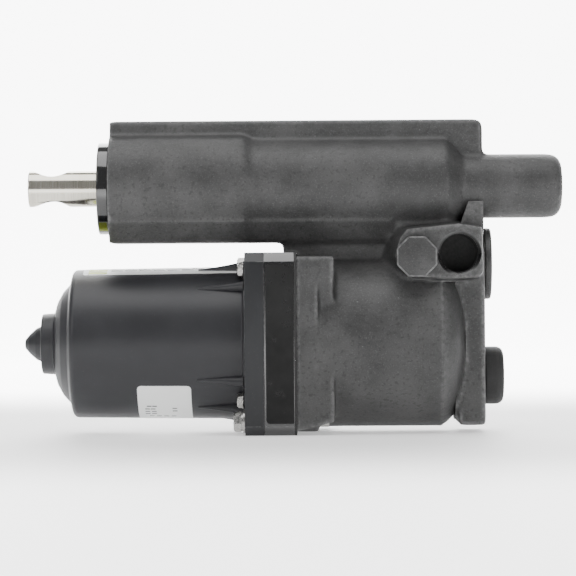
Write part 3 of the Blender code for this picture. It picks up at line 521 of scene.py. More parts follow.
def fused(meshes, voxel):
    # one skin over shapes that overlap
    piece = holder(merged(*meshes))
    skin = piece.modifiers.new("skin", "REMESH")
    skin.mode = "VOXEL"
    skin.voxel_size = voxel
    return evaluated(piece)


def bevelled(mesh, width, segments=3, angle=35):
    piece = holder(mesh)
    edge = piece.modifiers.new("edges", "BEVEL")
    edge.width = width
    edge.segments = segments
    edge.limit_method = "ANGLE"
    edge.angle_limit = math.radians(angle)
    return evaluated(piece)


def storeWearAndSheen(mesh, value, domain="POINT"):
    layer = mesh.attributes.get("wearAndSheen") or mesh.attributes.new("wearAndSheen", "FLOAT", domain)
    layer.data.foreach_set("value", np.clip(value, 0, 1).astype(np.float32))


def markWearAndSheen(mesh, sharpest=900.0, least=160.0, passes=2):
    # stores how strongly each point's surroundings bulge outwards, for paint worn off the edges together with a
    # painted highlight along them
    count = len(mesh.vertices)
    places = pointPlaces(mesh)
    normals = np.empty(count * 3, np.float32)
    mesh.vertex_normals.foreach_get("vector", normals)
    normals = normals.reshape(-1, 3)
    a, b = edgeEnds(mesh)
    step = places[b] - places[a]
    length = np.maximum(np.linalg.norm(step, axis=1), 2e-4)
    bend = ((normals[b] - normals[a]) * step).sum(1) / length**2
    tally = np.maximum(neighbourSum(a, b, np.ones(count)), 1)
    value = np.zeros(count)
    for end in (a, b):
        np.maximum.at(value, end, bend)
    value = np.clip((value - least) / (sharpest - least), 0, 1)
    for _ in range(passes):
        value = 0.5 * value + 0.5 * neighbourSum(a, b, value) / tally
    storeWearAndSheen(mesh, value)


def markBevels(mesh, width):
    # the narrow faces along the edges get the worn paint and its painted edge highlight
    lengths = [min((mesh.vertices[a].co - mesh.vertices[b].co).length for a, b in face.edge_keys)
               for face in mesh.polygons]
    storeWearAndSheen(mesh, np.array([1.0 if length < width else 0.0 for length in lengths]), "FACE")


def finishPiece(mesh, name, finish, body="housing", nodes=(), slotName=None, sharp=32):
    mesh.shade_smooth()
    mesh.set_sharp_from_angle(angle=math.radians(sharp))
    mesh.materials.clear()
    mesh.materials.append(finish)
    piece = holder(mesh, name)
    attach(piece, body)
    if nodes:
        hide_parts(*nodes)
    return piece


def finishNode(mesh, name, *nodes, body="housing", sharp=32):
    slotName = slotOf[nodes[0]]
    return finishPiece(mesh, name, finishes[slotName], body, nodes, slotName, sharp)


# repeated things

def repeatTree():
    # instances a template on every point, each turned round the X axis by its own turn and a random roll
    tree = bpy.data.node_groups.new("repeatOnPoints", "GeometryNodeTree")
    sockets = {}
    kinds = {"Geometry": "Geometry", "Template": "Object", "Size": "Float", "Roll": "Float", "Seed": "Int",
             "Material": "Material"}
    for label, kind in kinds.items():
        sockets[label] = tree.interface.new_socket(label, in_out="INPUT", socket_type="NodeSocket" + kind)
    sockets["Size"].default_value = 1.0
    tree.interface.new_socket("Geometry", in_out="OUTPUT", socket_type="NodeSocketGeometry")
    given = addNode(tree, "NodeGroupInput").outputs
    result = addNode(tree, "NodeGroupOutput")
    template = addNode(tree, "GeometryNodeObjectInfo", {"Object": given["Template"]})
    turn = addNode(tree, "GeometryNodeInputNamedAttribute", data_type="FLOAT")
    turn.inputs["Name"].default_value = "turn"
    roll = addNode(tree, "FunctionNodeRandomValue", data_type="FLOAT")
    tree.links.new(given["Roll"], named(roll.inputs, "Max_001"))
    tree.links.new(given["Seed"], roll.inputs["Seed"])
    rolled = named(roll.outputs, "Value_001")
    turned = addNode(tree, "ShaderNodeMath", {0: turn.outputs["Attribute"], 1: rolled}, operation="ADD")
    rotation = addNode(tree, "ShaderNodeCombineXYZ", {"X": turned.outputs["Value"]})
    copies = addNode(tree, "GeometryNodeInstanceOnPoints", {
        "Points": given["Geometry"], "Instance": template.outputs["Geometry"],
        "Rotation": rotation.outputs["Vector"], "Scale": given["Size"]})
    real = addNode(tree, "GeometryNodeRealizeInstances", {"Geometry": copies.outputs["Instances"]})
    painted = addNode(tree, "GeometryNodeSetMaterial", {
        "Geometry": real.outputs["Geometry"], "Material": given["Material"]})
    tree.links.new(painted.outputs["Geometry"], result.inputs["Geometry"])
    return tree, sockets


repeatOnPoints, repeatSockets = repeatTree()


def repeated(template, places, finish, size=1.0, roll=0.0, seed=1):
    # places are (x, y, z, turn)
    points = bpy.data.meshes.new("points")
    points.from_pydata([p[:3] for p in places], [], [])
    points.attributes.new("turn", "FLOAT", "POINT").data.foreach_set("value", [p[3] for p in places])
    pattern = holder(template, "template")
    piece = holder(points)
    modifier = piece.modifiers.new("repeat", "NODES")
    modifier.node_group = repeatOnPoints
    values = {"Template": pattern, "Size": size, "Roll": roll, "Seed": seed, "Material": finish}
    for label, value in values.items():
        modifier[repeatSockets[label].identifier] = value
    made = evaluated(piece)
    bpy.data.objects.remove(pattern)
    return made


# stage, light and camera

stageLook = {
    "floor": 0.9, "backdropY": 2.2, "backdropHeight": 3.0, "halfWidth": 4.0, "bend": 0.8,
    "cameraDistance": 1.6, "framedWidth": 0.320, "centreX": -0.0028, "centreZ": 0.0797, "yaw": 0.6,
    "glowBack": 6.5, "glowSpan": (0.2, 0.75), "glowFront": 1.7, "glowFrontSpan": (-0.2, -0.5),
    "glowReach": (0.8, 1.4), "glowFloor": 0.46,
    "world": 0.29, "key": 6.4, "fill": 7.0, "top": 17, "rim": 2.5, "roll": 0.38,
}


def makeStage(look):
    bm = bmesh.new()
    path = [(-3.0, 0.0), (look["backdropY"] - look["bend"], 0.0)]
    path += arcPoints((look["backdropY"] - look["bend"], look["bend"]), look["bend"], -math.pi / 2, 0, 14)
    path.append((look["backdropY"], look["backdropHeight"]))
    rows = [[bm.verts.new((side * look["halfWidth"], y, z)) for side in (-1, 1)] for y, z in path]
    for near, far in zip(rows, rows[1:]):
        bm.faces.new((near[0], near[1], far[1], far[0]))
    bmesh.ops.remove_doubles(bm, verts=bm.verts, dist=1e-6)
    mesh = bpy.data.meshes.new("sweep")
    bm.to_mesh(mesh)
    bm.free()
    mesh.shade_smooth()
    material, tree, shader = newMaterial("paleSweep")
    shader.inputs["Base Color"].default_value = grey(look["floor"])
    shader.inputs["Roughness"].default_value = 0.55
    shader.inputs["Emission Color"].default_value = (1, 1, 1, 1)
    place = addNode(tree, "ShaderNodeSeparateXYZ", {"Vector": objectPoint(tree)}).outputs
    # painted light: the sweep glows, strongly behind the object and further in front, and only faintly in the
    # band beneath it, so that band reads as its shadow
    glow = remap(tree, place["Y"], *look["glowSpan"], 0, look["glowBack"], True)
    near = remap(tree, place["Y"], *look["glowFrontSpan"], 0, look["glowFront"], True)
    side = remap(tree, math2(tree, "ABSOLUTE", place["X"], 0.0), *look["glowReach"], 1, 0, True)
    glow = math2(tree, "MULTIPLY", math2(tree, "ADD", glow, near), side)
    glow = math2(tree, "ADD", glow, look["glowFloor"])
    tree.links.new(glow, shader.inputs["Emission Strength"])
    mesh.materials.append(material)
    floor = holder(mesh, "sweep")
    return floor


def areaLight(name, place, size, power):
    data = bpy.data.lights.new(name, "AREA")
    data.shape = "RECTANGLE"
    data.size, data.size_y = size
    data.energy = power
    lamp = bpy.data.objects.new(name, data)
    bpy.context.scene.collection.objects.link(lamp)
    lamp.location = place
    lamp.rotation_euler = (Vector((0, 0, 0.09)) - Vector(place)).to_track_quat("-Z", "Y").to_euler()
    return lamp


def makeLights(look):
    areaLight("topSoftbox", (-0.05, -0.25, 1.35), (1.5, 1.1), look["top"])
    areaLight("keySoftbox", (-1.15, -1.25, 0.95), (0.8, 0.9), look["key"])
    areaLight("fillSoftbox", (1.35, -1.3, 0.35), (0.7, 0.9), look["fill"])
    areaLight("rearSoftbox", (0.5, 1.4, 0.9), (1.2, 0.6), look["rim"])
    world = bpy.data.worlds.new("paleRoom")
    world.use_nodes = True
    background = world.node_tree.nodes["Background"]
    background.inputs["Color"].default_value = (1, 1, 1, 1)
    background.inputs["Strength"].default_value = look["world"]
    bpy.context.scene.world = world


def makeCamera(look):
    data = bpy.data.cameras.new("photoCamera")
    data.sensor_width = 36
    data.lens = 36 * look["cameraDistance"] / look["framedWidth"]
    camera = bpy.data.objects.new("photoCamera", data)
    bpy.context.scene.collection.objects.link(camera)
    yaw = math.radians(look["yaw"])
    back = Vector((math.sin(yaw), -math.cos(yaw), 0)) * look["cameraDistance"]
    camera.location = Vector((look["centreX"], 0, look["centreZ"])) + back
    aim = (-back).to_track_quat("-Z", "Y").to_matrix() @ Matrix.Rotation(math.radians(-look["roll"]), 3, "Z")
    camera.rotation_euler = aim.to_euler()
    data.clip_start = 0.05
    bpy.context.scene.camera = camera


makeStage(stageLook)
makeLights(stageLook)
makeCamera(stageLook)
print("stage, lights and camera made")


# the casting

casting = inMetres({
    "barrelStart": spanX("main_housing")[0] / mm, "barrelR": 30.0, "barrelSmallR": 27.0,
    "step": (-26.9, -21.5), "shoulder": (85.4, 94.3),
    "tailR": 17.8, "tailEnd": spanX("main_housing")[1] / mm, "tailRounding": 9.5,
    "ribHalf": 6.2, "ribEnd": 105.4,
    "keelHalf": (24.6, 20.6, 12.5), "keelDrop": (18.9, 30.7), "keelEnd": 57.0,
    "webHalf": 10.0, "webStart": -5.2, "webEnd": 92, "webLift": 0.8,
    "caseR": 46.7, "caseStart": 2.2, "caseEnd": 81.6,
    "flangeHalf": 47.6, "flangeEnd": 13.8, "flangeChamfer": 5,
    "bossEnd": 22.6, "bossRoot": 25, "bossSpans": ((36, 0.0), (-26, 5)),
    "bossRamps": ((21, 38, 42.3), (-12, -28, 45.2)),
    "slab": (90.4, 105.4), "slabHalf": 24, "slabBottom": 3.9, "gussetTop": 127,
    "lugFace": 36, "lugRoot": 14, "lugBottom": 80.5,
    "socket": (90.7, 98.0), "socketR": 10.7, "socketChamferR": 12.1, "socketDepth": 22,
    "plug": (67.4, 96.2), "plugHoleR": 9.4, "breatherHoleR": 5.0, "boltHoleR": 3.4,
    "idlerBoss": (58, 80, 28), "idlerChamber": (60, 74.8, 25), "idlerBoreR": 6.3,
    "ramBores": ((75, 23.8), (87.3, 17.8), (143, 14)),
    "motorBores": ((36, 42), (75, 23.8), (87.3, 17.8)),
    "voxel": 1.2,
})
casting.smoothing = 9


def barrelShape(c):
    corners = [
        (c.barrelStart - mm, 0, 0), (c.barrelStart - mm, c.barrelR, 0),
        (c.step[0], c.barrelR, 3 * mm), (c.step[1], c.barrelSmallR, 2 * mm),
        (c.shoulder[0], c.barrelSmallR, 3 * mm), (c.shoulder[1], c.tailR, 2 * mm),
        (c.tailEnd, c.tailR, c.tailRounding), (c.tailEnd, 0, 0)]
    return lathe(softened(corners), 120, ramZ)


def keelShape(c):
    # flat flanks under the barrel that meet its round side, ending in a slope by the lug
    (wide, slim, narrow), (top, bottom) = c.keelHalf, c.keelDrop
    rings = []
    start, end = c.barrelStart - mm, c.keelEnd
    stations = ((start, wide, 0), (c.step[0], wide, 0), (c.step[1], slim, 0), (end - 3 * mm, slim, 0),
                (end + 9 * mm, slim, 11 * mm))
    for x, half, lift in stations:
        side, foot = lift - top, lift - bottom
        section = [(-half, side), (-narrow, foot), (narrow, foot), (half, side), (half / 2, 0), (-half / 2, 0)]
        rings.append([(x, y, ramZ + z) for y, z in section])
    return loft(rings)


def ribShape(c):
    top = cadBox[1].z
    outline = [
        (c.barrelStart - mm, ramZ), (c.ribEnd, ramZ + 8 * mm),
        *arcPoints((c.ribEnd - 4 * mm, top - 4 * mm), 4 * mm, 0, math.pi / 2, 6),
        (c.barrelStart - mm, top)]
    return slabMesh(outline, -c.ribHalf, c.ribHalf, "Y")


def caseShape(c):
    corners = [
        (c.caseStart - mm, 0, 0), (c.caseStart - mm, c.caseR, 0),
        (c.caseEnd + 2.5 * mm, c.caseR, 0.5 * mm), (c.caseEnd + 8.5 * mm, c.caseR - 6 * mm, 8 * mm),
        (c.caseEnd + 13 * mm, c.caseR - 22.7 * mm, 6 * mm), (c.caseEnd + 16 * mm, 0, 0)]
    return lathe(softened(corners), 144, motorZ)


def lugShape(c):
    root = [(50.0, 96.5), (54.5, 108.0), (60.5, 113.2), (90.8, 115.6), (104.6, 113.4), (105.3, 87.0),
            (102.3, 83.6), (85.6, 82.6), (60.5, 83.6)]
    face = [(56.2, 96.6), (59.0, 106.4), (62.6, 111.2), (90.4, 114.0), (102.9, 112.2), (103.7, 88.0),
            (101.2, 85.0), (85.6, 84.2), (63.2, 86.2)]
    end, middle = c.lugFace + mm, c.lugRoot
    stations = ((-end, face), (-middle, root), (middle, root), (end, face))
    return loft([[(x, y, z) for x, z in inMetres(outline)] for y, outline in stations])


def gussetShape(c):
    # the tapering rib between the lug and the tail
    rings = []
    for z, start, half in ((108 * mm, 90.0 * mm, 19 * mm), (c.gussetTop, 96.8 * mm, 17.5 * mm)):
        end = c.slab[1] - 0.4 * mm
        rings.append([(start, -half, z), (end, -half, z), (end, half, z), (start, half, z)])
    return loft(rings)


def flangeShapes(c):
    start, root = c.caseStart - mm, c.bossRoot
    yield slabMesh(chamferedSquare(c.flangeHalf, c.flangeChamfer), start, c.flangeEnd, z=motorZ)
    edge = c.flangeHalf - 0.3 * mm
    for side in (-1, 1):
        for inner, slope in c.bossSpans:
            outer = math.copysign(edge, inner)
            ends = ((start, outer), (c.bossEnd, outer + slope))
            yield loft([[(x, side * root, motorZ + inner), (x, side * edge, motorZ + inner),
                         (x, side * edge, motorZ + far), (x, side * root, motorZ + far)] for x, far in ends])
        # the bosses' inner sides run out in ramps on the round case
        for foot, head, depth in c.bossRamps:
            yield loft([[(x, side * depth, motorZ + foot), (x, side * edge, motorZ + head),
                         (x, side * root, motorZ + head), (x, side * root, motorZ + foot)]
                        for x in (start, c.bossEnd)])


def castingShapes(c):
    yield barrelShape(c)
    yield keelShape(c)
    yield ribShape(c)
    foot, top, end = motorZ + c.flangeHalf + c.webLift, ramZ - 20 * mm, c.webEnd
    web = [(c.webStart, foot), (4 * mm, foot), (4 * mm, foot - 16 * mm), (end, foot - 16 * mm),
           (end, top), (c.webStart, top)]
    yield slabMesh(web, -c.webHalf, c.webHalf, "Y")
    yield caseShape(c)
    yield from flangeShapes(c)
    yield boxMesh((c.slab[0], -c.slabHalf, c.slabBottom), (c.slab[1], c.slabHalf, 100 * mm))
    start, end, radius = c.idlerBoss
    yield pin((start, 0, idlerZ), (end, 0, idlerZ), radius)
    yield lugShape(c)


def steppedBore(start, steps, z):
    # steps are (end, radius), from the mouth inwards
    profile = [(start, 0)]
    for end, radius in steps:
        profile += [(start, radius), (end, radius)]
        start = end
    return lathe([*profile, (start, 0)], 96, z)


def caseEdgeCutter(c):
    # trims the end of the gear case to a crisp dome, below the lug and beside the end wall
    start, r = c.caseEnd, c.caseR
    dome = [(0.0, 0.0), (3.2, -2.2), (6.2, -5.2), (8.6, -9.2), (10.4, -13.6), (11.8, -18.4), (12.8, -24.0)]
    inner = [(start + x * mm, r + lift * mm) for x, lift in dome]
    ring = lathe([*inner, (inner[-1][0], r + 12 * mm), (start, r + 12 * mm)], 160, motorZ)
    half = c.slabHalf + 0.6 * mm
    above = boxMesh((start - 5 * mm, -80 * mm, 82.6 * mm), (start + 20 * mm, 80 * mm, 130 * mm))
    wall = boxMesh((start + 7.2 * mm, -half, -10 * mm), (start + 20 * mm, half, 90 * mm))
    return carve(ring, [above, wall])


def castingCutters(c):
    far = 60 * mm
    yield caseEdgeCutter(c)
    # machined faces
    yield boxMesh((c.barrelStart - 20 * mm, -far, ramZ - far), (c.barrelStart, far, ramZ + far))
    yield boxMesh((c.caseStart - 14 * mm, -far, motorZ - far), (c.caseStart, far, motorZ + 49.8 * mm))
    for side in (-1, 1):
        y = sorted((side * c.lugFace, side * (c.lugFace + 8 * mm)))
        yield boxMesh((40 * mm, y[0], c.lugBottom), (107 * mm, y[1], 120 * mm))
        x, z = c.socket
        mouth, floor = side * (c.lugFace + 2 * mm), side * (c.lugFace - c.socketDepth)
        chamferEnd = side * (c.lugFace - (c.socketChamferR - c.socketR))
        yield pin((x, mouth, z), (x, floor, z), c.socketR, sides=96)
        yield pin((x, mouth, z), (x, chamferEnd, z), c.socketChamferR + 2 * mm, c.socketR, sides=96)
    # bores for the ram, the motor and the gears
    yield steppedBore(c.barrelStart - 3 * mm, c.ramBores, ramZ)
    yield steppedBore(c.caseStart - 3 * mm, c.motorBores, motorZ)
    start, end, radius = c.idlerChamber
    yield pin((start, 0, idlerZ), (end, 0, idlerZ), radius)
    half, gap = radius - 0.4 * mm, 0.1 * mm
    yield boxMesh((start + gap, -half, motorZ), (end + gap, half, idlerZ))
    yield pin((52 * mm, 0, idlerZ), (110 * mm, 0, idlerZ), c.idlerBoreR, sides=48)
    x, z = c.plug
    yield pin((x, -c.lugFace - 2 * mm, z), (x, -20 * mm, z), c.plugHoleR)
    z = centreYZ("breather_cap")[1]
    yield pin((98 * mm, 0, z), (110 * mm, 0, z), c.breatherHoleR, sides=32)
    for y, z in boltPlaces():
        yield pin((0, y, z), (20.5 * mm, y, z), c.boltHoleR, sides=24)


def near(value, target, reach):
    return np.clip(1.5 - np.abs(value - target) / reach, 0, 1)


def castingFirmness(c):
    # 1 along the edges that the mould left sharp, 0 elsewhere
    def firmness(places):
        x, y, z = places.T
        fromMotor = np.hypot(y, z - motorZ)
        square = np.maximum(np.abs(y), np.abs(z - motorZ))
        reach = 2.2 * mm
        low = z < 81 * mm
        caseEdge = near(x, c.caseEnd, reach) * near(fromMotor, c.caseR, reach) * low
        flangeEdge = near(square, c.flangeHalf, reach) * (x < c.bossEnd + 2 * mm)
        slabFace = near(np.abs(y), c.slabHalf, reach) * (x > c.slab[0] - reach) * low
        lug = near(np.abs(y), c.lugFace, 3.5 * mm) * (z > 80 * mm) * (x > 48 * mm)
        gusset = (np.abs(y) > 14.5 * mm) * (x > 92 * mm) * (z > 114 * mm) * (z < 130 * mm)
        keelHalf = np.where(x < c.step[0], c.keelHalf[0], c.keelHalf[1])
        keel = near(z, ramZ - c.keelDrop[0], reach) * near(np.abs(y), keelHalf, reach)
        keel = keel * (x < c.keelEnd)
        return 0.9 * np.maximum.reduce([caseEdge, flangeEdge, slabFace, lug, gusset, keel])
    return firmness


def divided(mesh, reach):
    # splits the wide machined faces, so that the worn edges and their painted highlight don't spread over them
    bm = bmesh.new()
    bm.from_mesh(mesh)
    for _ in range(6):
        wide = [f for f in bm.faces if max(map(abs, f.normal)) > 0.999 and f.calc_area() > 0.3 * mm * mm
                and (len(f.verts) > 4 or max(e.calc_length() for e in f.edges) > 2 * reach)]
        if not wide:
            break
        faces = bmesh.ops.triangulate(bm, faces=wide)["faces"]
        flat = {e for f in faces for e in f.edges if e.calc_length() > reach}
        bmesh.ops.subdivide_edges(bm, edges=list(flat), cuts=1)
    bmesh.ops.triangulate(bm, faces=[f for f in bm.faces if len(f.verts) > 4])
    bm.to_mesh(mesh)
    bm.free()
    return mesh


def makeCasting(c):
    skin = relaxed(fused(list(castingShapes(c)), c.voxel), castingFirmness(c), c.smoothing)
    print("casting skin faces:", len(skin.polygons))
    skin = carve(skin, [bevelled(gussetShape(c), 0.8 * mm, 2)], "UNION")
    skin = divided(carve(skin, list(castingCutters(c))), 1.7 * mm)
    markWearAndSheen(skin, 760, 270, 1)
    return finishNode(skin, "castingSkin", "main_housing", sharp=28)


makeCasting(casting)
print("casting done")


# motor can

can = inMetres({
    "flange": (-27.0, -26.0), "body": (-121.0, -27.0), "outerR": 41.0,
    "draft": 1.1, "screwCircle": 46.1, "earR": 5.2, "dartLength": 25, "dartHeight": 5.0,
})
can.screwTurns, can.dartSpread, can.steps = (120, 222, 42, -60), 14, 192


def canRadius(x):
    # the can widens a little towards its flange
    start, end = can.body
    return can.outerR + can.draft * (x - start) / (end - start)


def canShell(c):
    outside = [
        (-149.3, 0, 0), (-148.9, 2.4, 1), (-146.6, 5.2, 2), (-142.6, 8.8, 2), (-139.3, 10.2, 0.6),
        (-139.3, 16.6, 1.2),
        (-132.2, 17.1, 0.8), (-130.5, 23.2, 6), (-127.4, 28.8, 6), (-123.2, 33.4, 2),
        (-121.4, 41.0, 3.5), (-27.4, 42.1, 1.0),
        (-27.0, 43.6, 0.3), (-25.95, 43.6, 0.1)]
    inside = [(-25.95, 38.9, 0), (-119.0, 38.9, 3), (-129.8, 14.8, 1), (-137.2, 14.8, 0), (-137.2, 0, 0)]
    return lathe(softened(inMetres(outside + inside), 8), c.steps, motorZ, False)


def earAndDarts(c):
    start, end = c.flange
    ear = arcPoints((c.screwCircle, 0), c.earR, -math.pi / 2, math.pi / 2, 16)
    ear += [(c.outerR - mm, 6.4 * mm), (c.outerR - mm, -6.4 * mm)]
    shapes = [slabMesh(ear, start + 0.05 * mm, end - 0.05 * mm)]
    for side in (-1, 1):
        rings = []
        for t in (0.0, 0.15, 0.35, 0.6, 0.85, 1.0):
            x = start - c.dartLength * (1 - t)
            width, height = (0.7 + 2.1 * t) * mm, (0.2 + 0.8 * t**1.3) * c.dartHeight
            turns = [math.pi * k / 8 for k in range(9)]
            section = [(width * math.cos(a), height * max(math.sin(a), 0) ** 0.8) for a in turns]
            section += [(-width, -2.2 * mm), (width, -2.2 * mm)]
            ring = [Vector((x, canRadius(x) - 0.4 * mm + lift, across)) for across, lift in section]
            rings.append([Matrix.Rotation(side * math.radians(c.dartSpread), 3, "X") @ v for v in ring])
        shapes.append(loft(rings))
    return merged(*shapes)


def makeCan(c):
    shell = canShell(c)
    markWearAndSheen(shell, 3000, 900, 0)
    finishNode(shell, "canShell", "motor_can", sharp=40)
    places = [(0, 0, motorZ, math.radians(turn)) for turn in c.screwTurns]
    darts = repeated(earAndDarts(c), places, finishes["can_black"])
    markBevels(darts, 0.0)
    finishPiece(darts, "canDarts", finishes["can_black"], sharp=38)


makeCan(can)
print("motor can done")


# flange plates

plates = inMetres({
    "half": 49.5, "chamfer": 5, "bevel": 0.5, "holeR": 3.4, "panelStart": -14.7,
    "panelHalf": 43.2, "panelDepth": 0.7, "panelCorner": 2.5,
})


def flangePlate(name, node, c, boreR, extraCuts=(), bevel=None, grow=(0.0, 0.0)):
    start, end = spanX(node)
    start, end = start - grow[0], end + grow[1]
    square = chamferedSquare(c.half, c.chamfer)
    body = slabMesh(square, start, end, z=motorZ)
    holes = [pin((start - mm, y, z), (end + mm, y, z), c.holeR, sides=24) for y, z in boltPlaces()]
    bore = pin((start - mm, 0, motorZ), (end + mm, 0, motorZ), boreR, sides=96)
    body = carve(body, [bore, *holes])
    if bevel:
        body = bevelled(body, bevel, 2)
        markBevels(body, bevel)
    if extraCuts:
        body = carve(body, list(extraCuts))
    return finishNode(body, name, node, sharp=30)


def makePlates(c):
    flangePlate("endPlate", "motor_end_plate", c, 16.3 * mm, bevel=c.bevel, grow=(0.22 * mm, 0.22 * mm))
    start, end = spanX("motor_adapter")
    pockets, z = [], motorZ
    for side in (-1, 1):
        corner = c.panelCorner
        outline = softened([
            (c.panelStart, z - c.panelHalf, corner), (end + 2 * mm, z - c.panelHalf, 0),
            (end + 2 * mm, z + c.panelHalf, 0), (c.panelStart, z + c.panelHalf, corner)])
        y = sorted((side * (c.half - c.panelDepth), side * (c.half + mm)))
        pockets.append(slabMesh(outline, *y, "Y"))
        floor = side * (c.half - c.panelDepth)
        left, right, reach = c.panelStart + 0.25 * mm, end - 0.25 * mm, c.panelHalf - 0.25 * mm
        inset = softened([(left, z - reach, corner), (right, z - reach, 0.4 * mm),
                          (right, z + reach, 0.4 * mm), (left, z + reach, corner)])
        if side < 0:
            panel = slabMesh(inset, floor - 0.5 * mm, floor + 0.3 * mm, "Y")
            finishPiece(panel, "adapterPanel", panelDark)
    low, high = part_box("power_socket")
    gap = 0.3 * mm
    pockets.append(boxMesh((low.x - gap, low.y - gap, low.z - gap), (high.x + gap, 52 * mm, high.z + gap)))
    flangePlate("adapterBody", "motor_adapter", c, 30 * mm, pockets, 0.3 * mm)
    flangePlate("gasket", "adapter_gasket", c, 42 * mm, grow=(0.25 * mm, 0.25 * mm))


makePlates(plates)
print("plates done")


# bolts and screws

fasteners = inMetres({
    "bolt": {
        "head": (-32.2, -28.0), "flats": 10, "shankR": 3.0, "shankEnd": 19.5,
        "washers": ((-28.0, -27.0, 5.0), (-27.0, -26.0, 6.1))},
    "screw": {
        "head": (-30.4, -27.6), "flats": 7, "shankR": 2.2, "shankEnd": -19.0,
        "washers": ((-27.6, -27.0, 4.4),)},
})


def fastener(c):
    start, end = c.head
    flats, bore = c.flats, c.shankR
    corner, behind = flats / 2 * 1.1547 + 0.05 * mm, end + 0.2 * mm
    crown = [(start, 0), (start, flats / 2 * 0.93), (start + 0.9 * mm, corner), (behind, corner), (behind, 0)]
    head = carve(slabMesh(polygon(6, flats), start, end), [lathe(crown, 48)], "INTERSECT")
    front, sunk = start - 0.2 * mm, start + 0.25 * mm
    shapes = [carve(head, [lathe([(front, 0), (front, flats * 0.33), (sunk, flats * 0.28), (sunk, 0)], 48)])]
    for near, far, radius in c.washers:
        corners = [(near, bore, 0), (near, radius, 0.2 * mm), (far, radius, 0.2 * mm), (far, bore, 0)]
        shapes.append(lathe(softened(corners), 48))
    shapes.append(pin((end - 0.5 * mm, 0, 0), (c.shankEnd, 0, 0), bore, sides=32))
    return merged(*shapes)


def makeFasteners():
    sets = (("cornerBolts", "bolt", "corner_bolt_", 4), ("canScrews", "screw", "can_screw_", 7))
    for name, key, prefix, seed in sets:
        nodes = sorted(node for node in frame["nodes"] if node.startswith(prefix))
        places = [(0, *centreYZ(node), 0.0) for node in nodes]
        bolts = repeated(fastener(getattr(fasteners, key)), places, finishes["zinc"], roll=math.pi / 3, seed=seed)
        finishNode(bolts, name, *nodes, sharp=30)


makeFasteners()
print("fasteners done")


# ram side

ram = inMetres({
    "rodR": 10.0, "rodBoreR": 7.0, "boreStart": -94,
    "eyeX": -133.4, "eyeR": 5.0, "eyeMouthR": 11.1, "eyeSlope": 7.0,
    "holeCircle": 19.5, "holeR": 2.0,
})


def makeRod(c):
    start, end = spanX("ram_rod")
    outer, inner = c.rodR, c.rodBoreR
    corners = [(start, 0, 0), (start, outer, 0.8 * mm), (end, outer, 0.4 * mm), (end, inner, 0),
               (c.boreStart, inner, 0), (c.boreStart, 0, 0)]
    rod = lathe(softened(corners), 128, ramZ, False)
    x, reach = c.eyeX, outer + mm
    cutters = [pin((x, 0, ramZ - reach), (x, 0, ramZ + reach), c.eyeR, sides=64)]
    for side in (-1, 1):
        mouth, floor = ramZ + side * reach, ramZ + side * (reach - c.eyeSlope)
        cutters.append(pin((x, 0, mouth), (x, 0, floor), c.eyeMouthR, c.eyeR, sides=96))
    finishNode(carve(rod, cutters), "rodFinish", "ram_rod", body="ram", sharp=30)


def makeGland(c):
    start, end = spanX("gland_nut")
    points = [
        (start / mm, 14.0, 0), (start / mm, 25.6, 1.0), (-101.3, 25.6, 0.4), (-101.3, 23.5, 0),
        (-92.0, 23.5, 0), (-92.0, 21.4, 0), (-88.0, 21.4, 0), (-88.0, 23.5, 0), (-83.0, 23.5, 0.5),
        (-83.0, 12.6, 0), (-99.0, 12.6, 0), (-99.0, 10.5, 0), (-103.0, 10.5, 0), (-103.0, 14.0, 0)]
    nut = lathe(softened(inMetres(points), 5), 144, ramZ)
    holes = []
    for k in range(4):
        angle = math.pi / 4 + k * math.pi / 2
        y, z = c.holeCircle * math.cos(angle), ramZ + c.holeCircle * math.sin(angle)
        holes.append(pin((start - mm, y, z), (start + 4 * mm, y, z), c.holeR, sides=32))
    nut = carve(nut, holes)
    markWearAndSheen(nut, 4000, 1500, 0)
    finishNode(nut, "glandFinish", "gland_nut", sharp=35)


makeRod(ram)
makeGland(ram)
print("rod and gland done")


# plug, caps and socket threads

fittings = inMetres({
    "plugFlats": 22, "plugBevel": 0.9, "stemR": 9.0, "capStemR": 4.7,
    "caps": (("idlerCapFinish", "idler_cap", 2.2, 0.6),
             ("breatherCapFinish", "breather_cap", 8.0, 0.5)),
    "threadPitch": 1.5, "threadDepth": 0.55,
})


def makePlug(c):
    low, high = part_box("blanking_plug")
    x, z = casting.plug
    outline = [(x + a, z + b) for a, b in polygon(8, c.plugFlats, math.pi / 8)]
    seat = -casting.lugFace - 0.3 * mm
    head = bevelled(slabMesh(outline, low.y, seat, "Y"), c.plugBevel, 3, 25)
    markBevels(head, c.plugBevel * 0.6)
    stem = pin((x, seat - mm, z), (x, high.y, z), c.stemR, sides=64)
    storeWearAndSheen(stem, np.zeros(len(stem.polygons)), "FACE")
    finishNode(merged(head, stem), "plugFinish", "blanking_plug", sharp=24)


def makeCaps(c):
    for name, node, rounding, foot in c.caps:
        low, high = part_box(node)
        radius, z = (high.y - low.y) / 2, centreYZ(node)[1]
        face = casting.slab[1] + 0.3 * mm
        corners = [(face, 0, 0), (face, radius - 0.4 * mm, 0), (face + foot, radius, 0.3 * mm),
                   (high.x, radius, rounding), (high.x, 0, 0)]
        shapes = [lathe(softened(corners, 8), 96, z)]
        if low.x < face - mm:
            shapes.append(pin((low.x, 0, z), (face + mm, 0, z), c.capStemR, sides=32))
        joined = merged(*shapes)
        markWearAndSheen(joined, 2500, 500, 1)
        finishNode(joined, name, node, sharp=30)


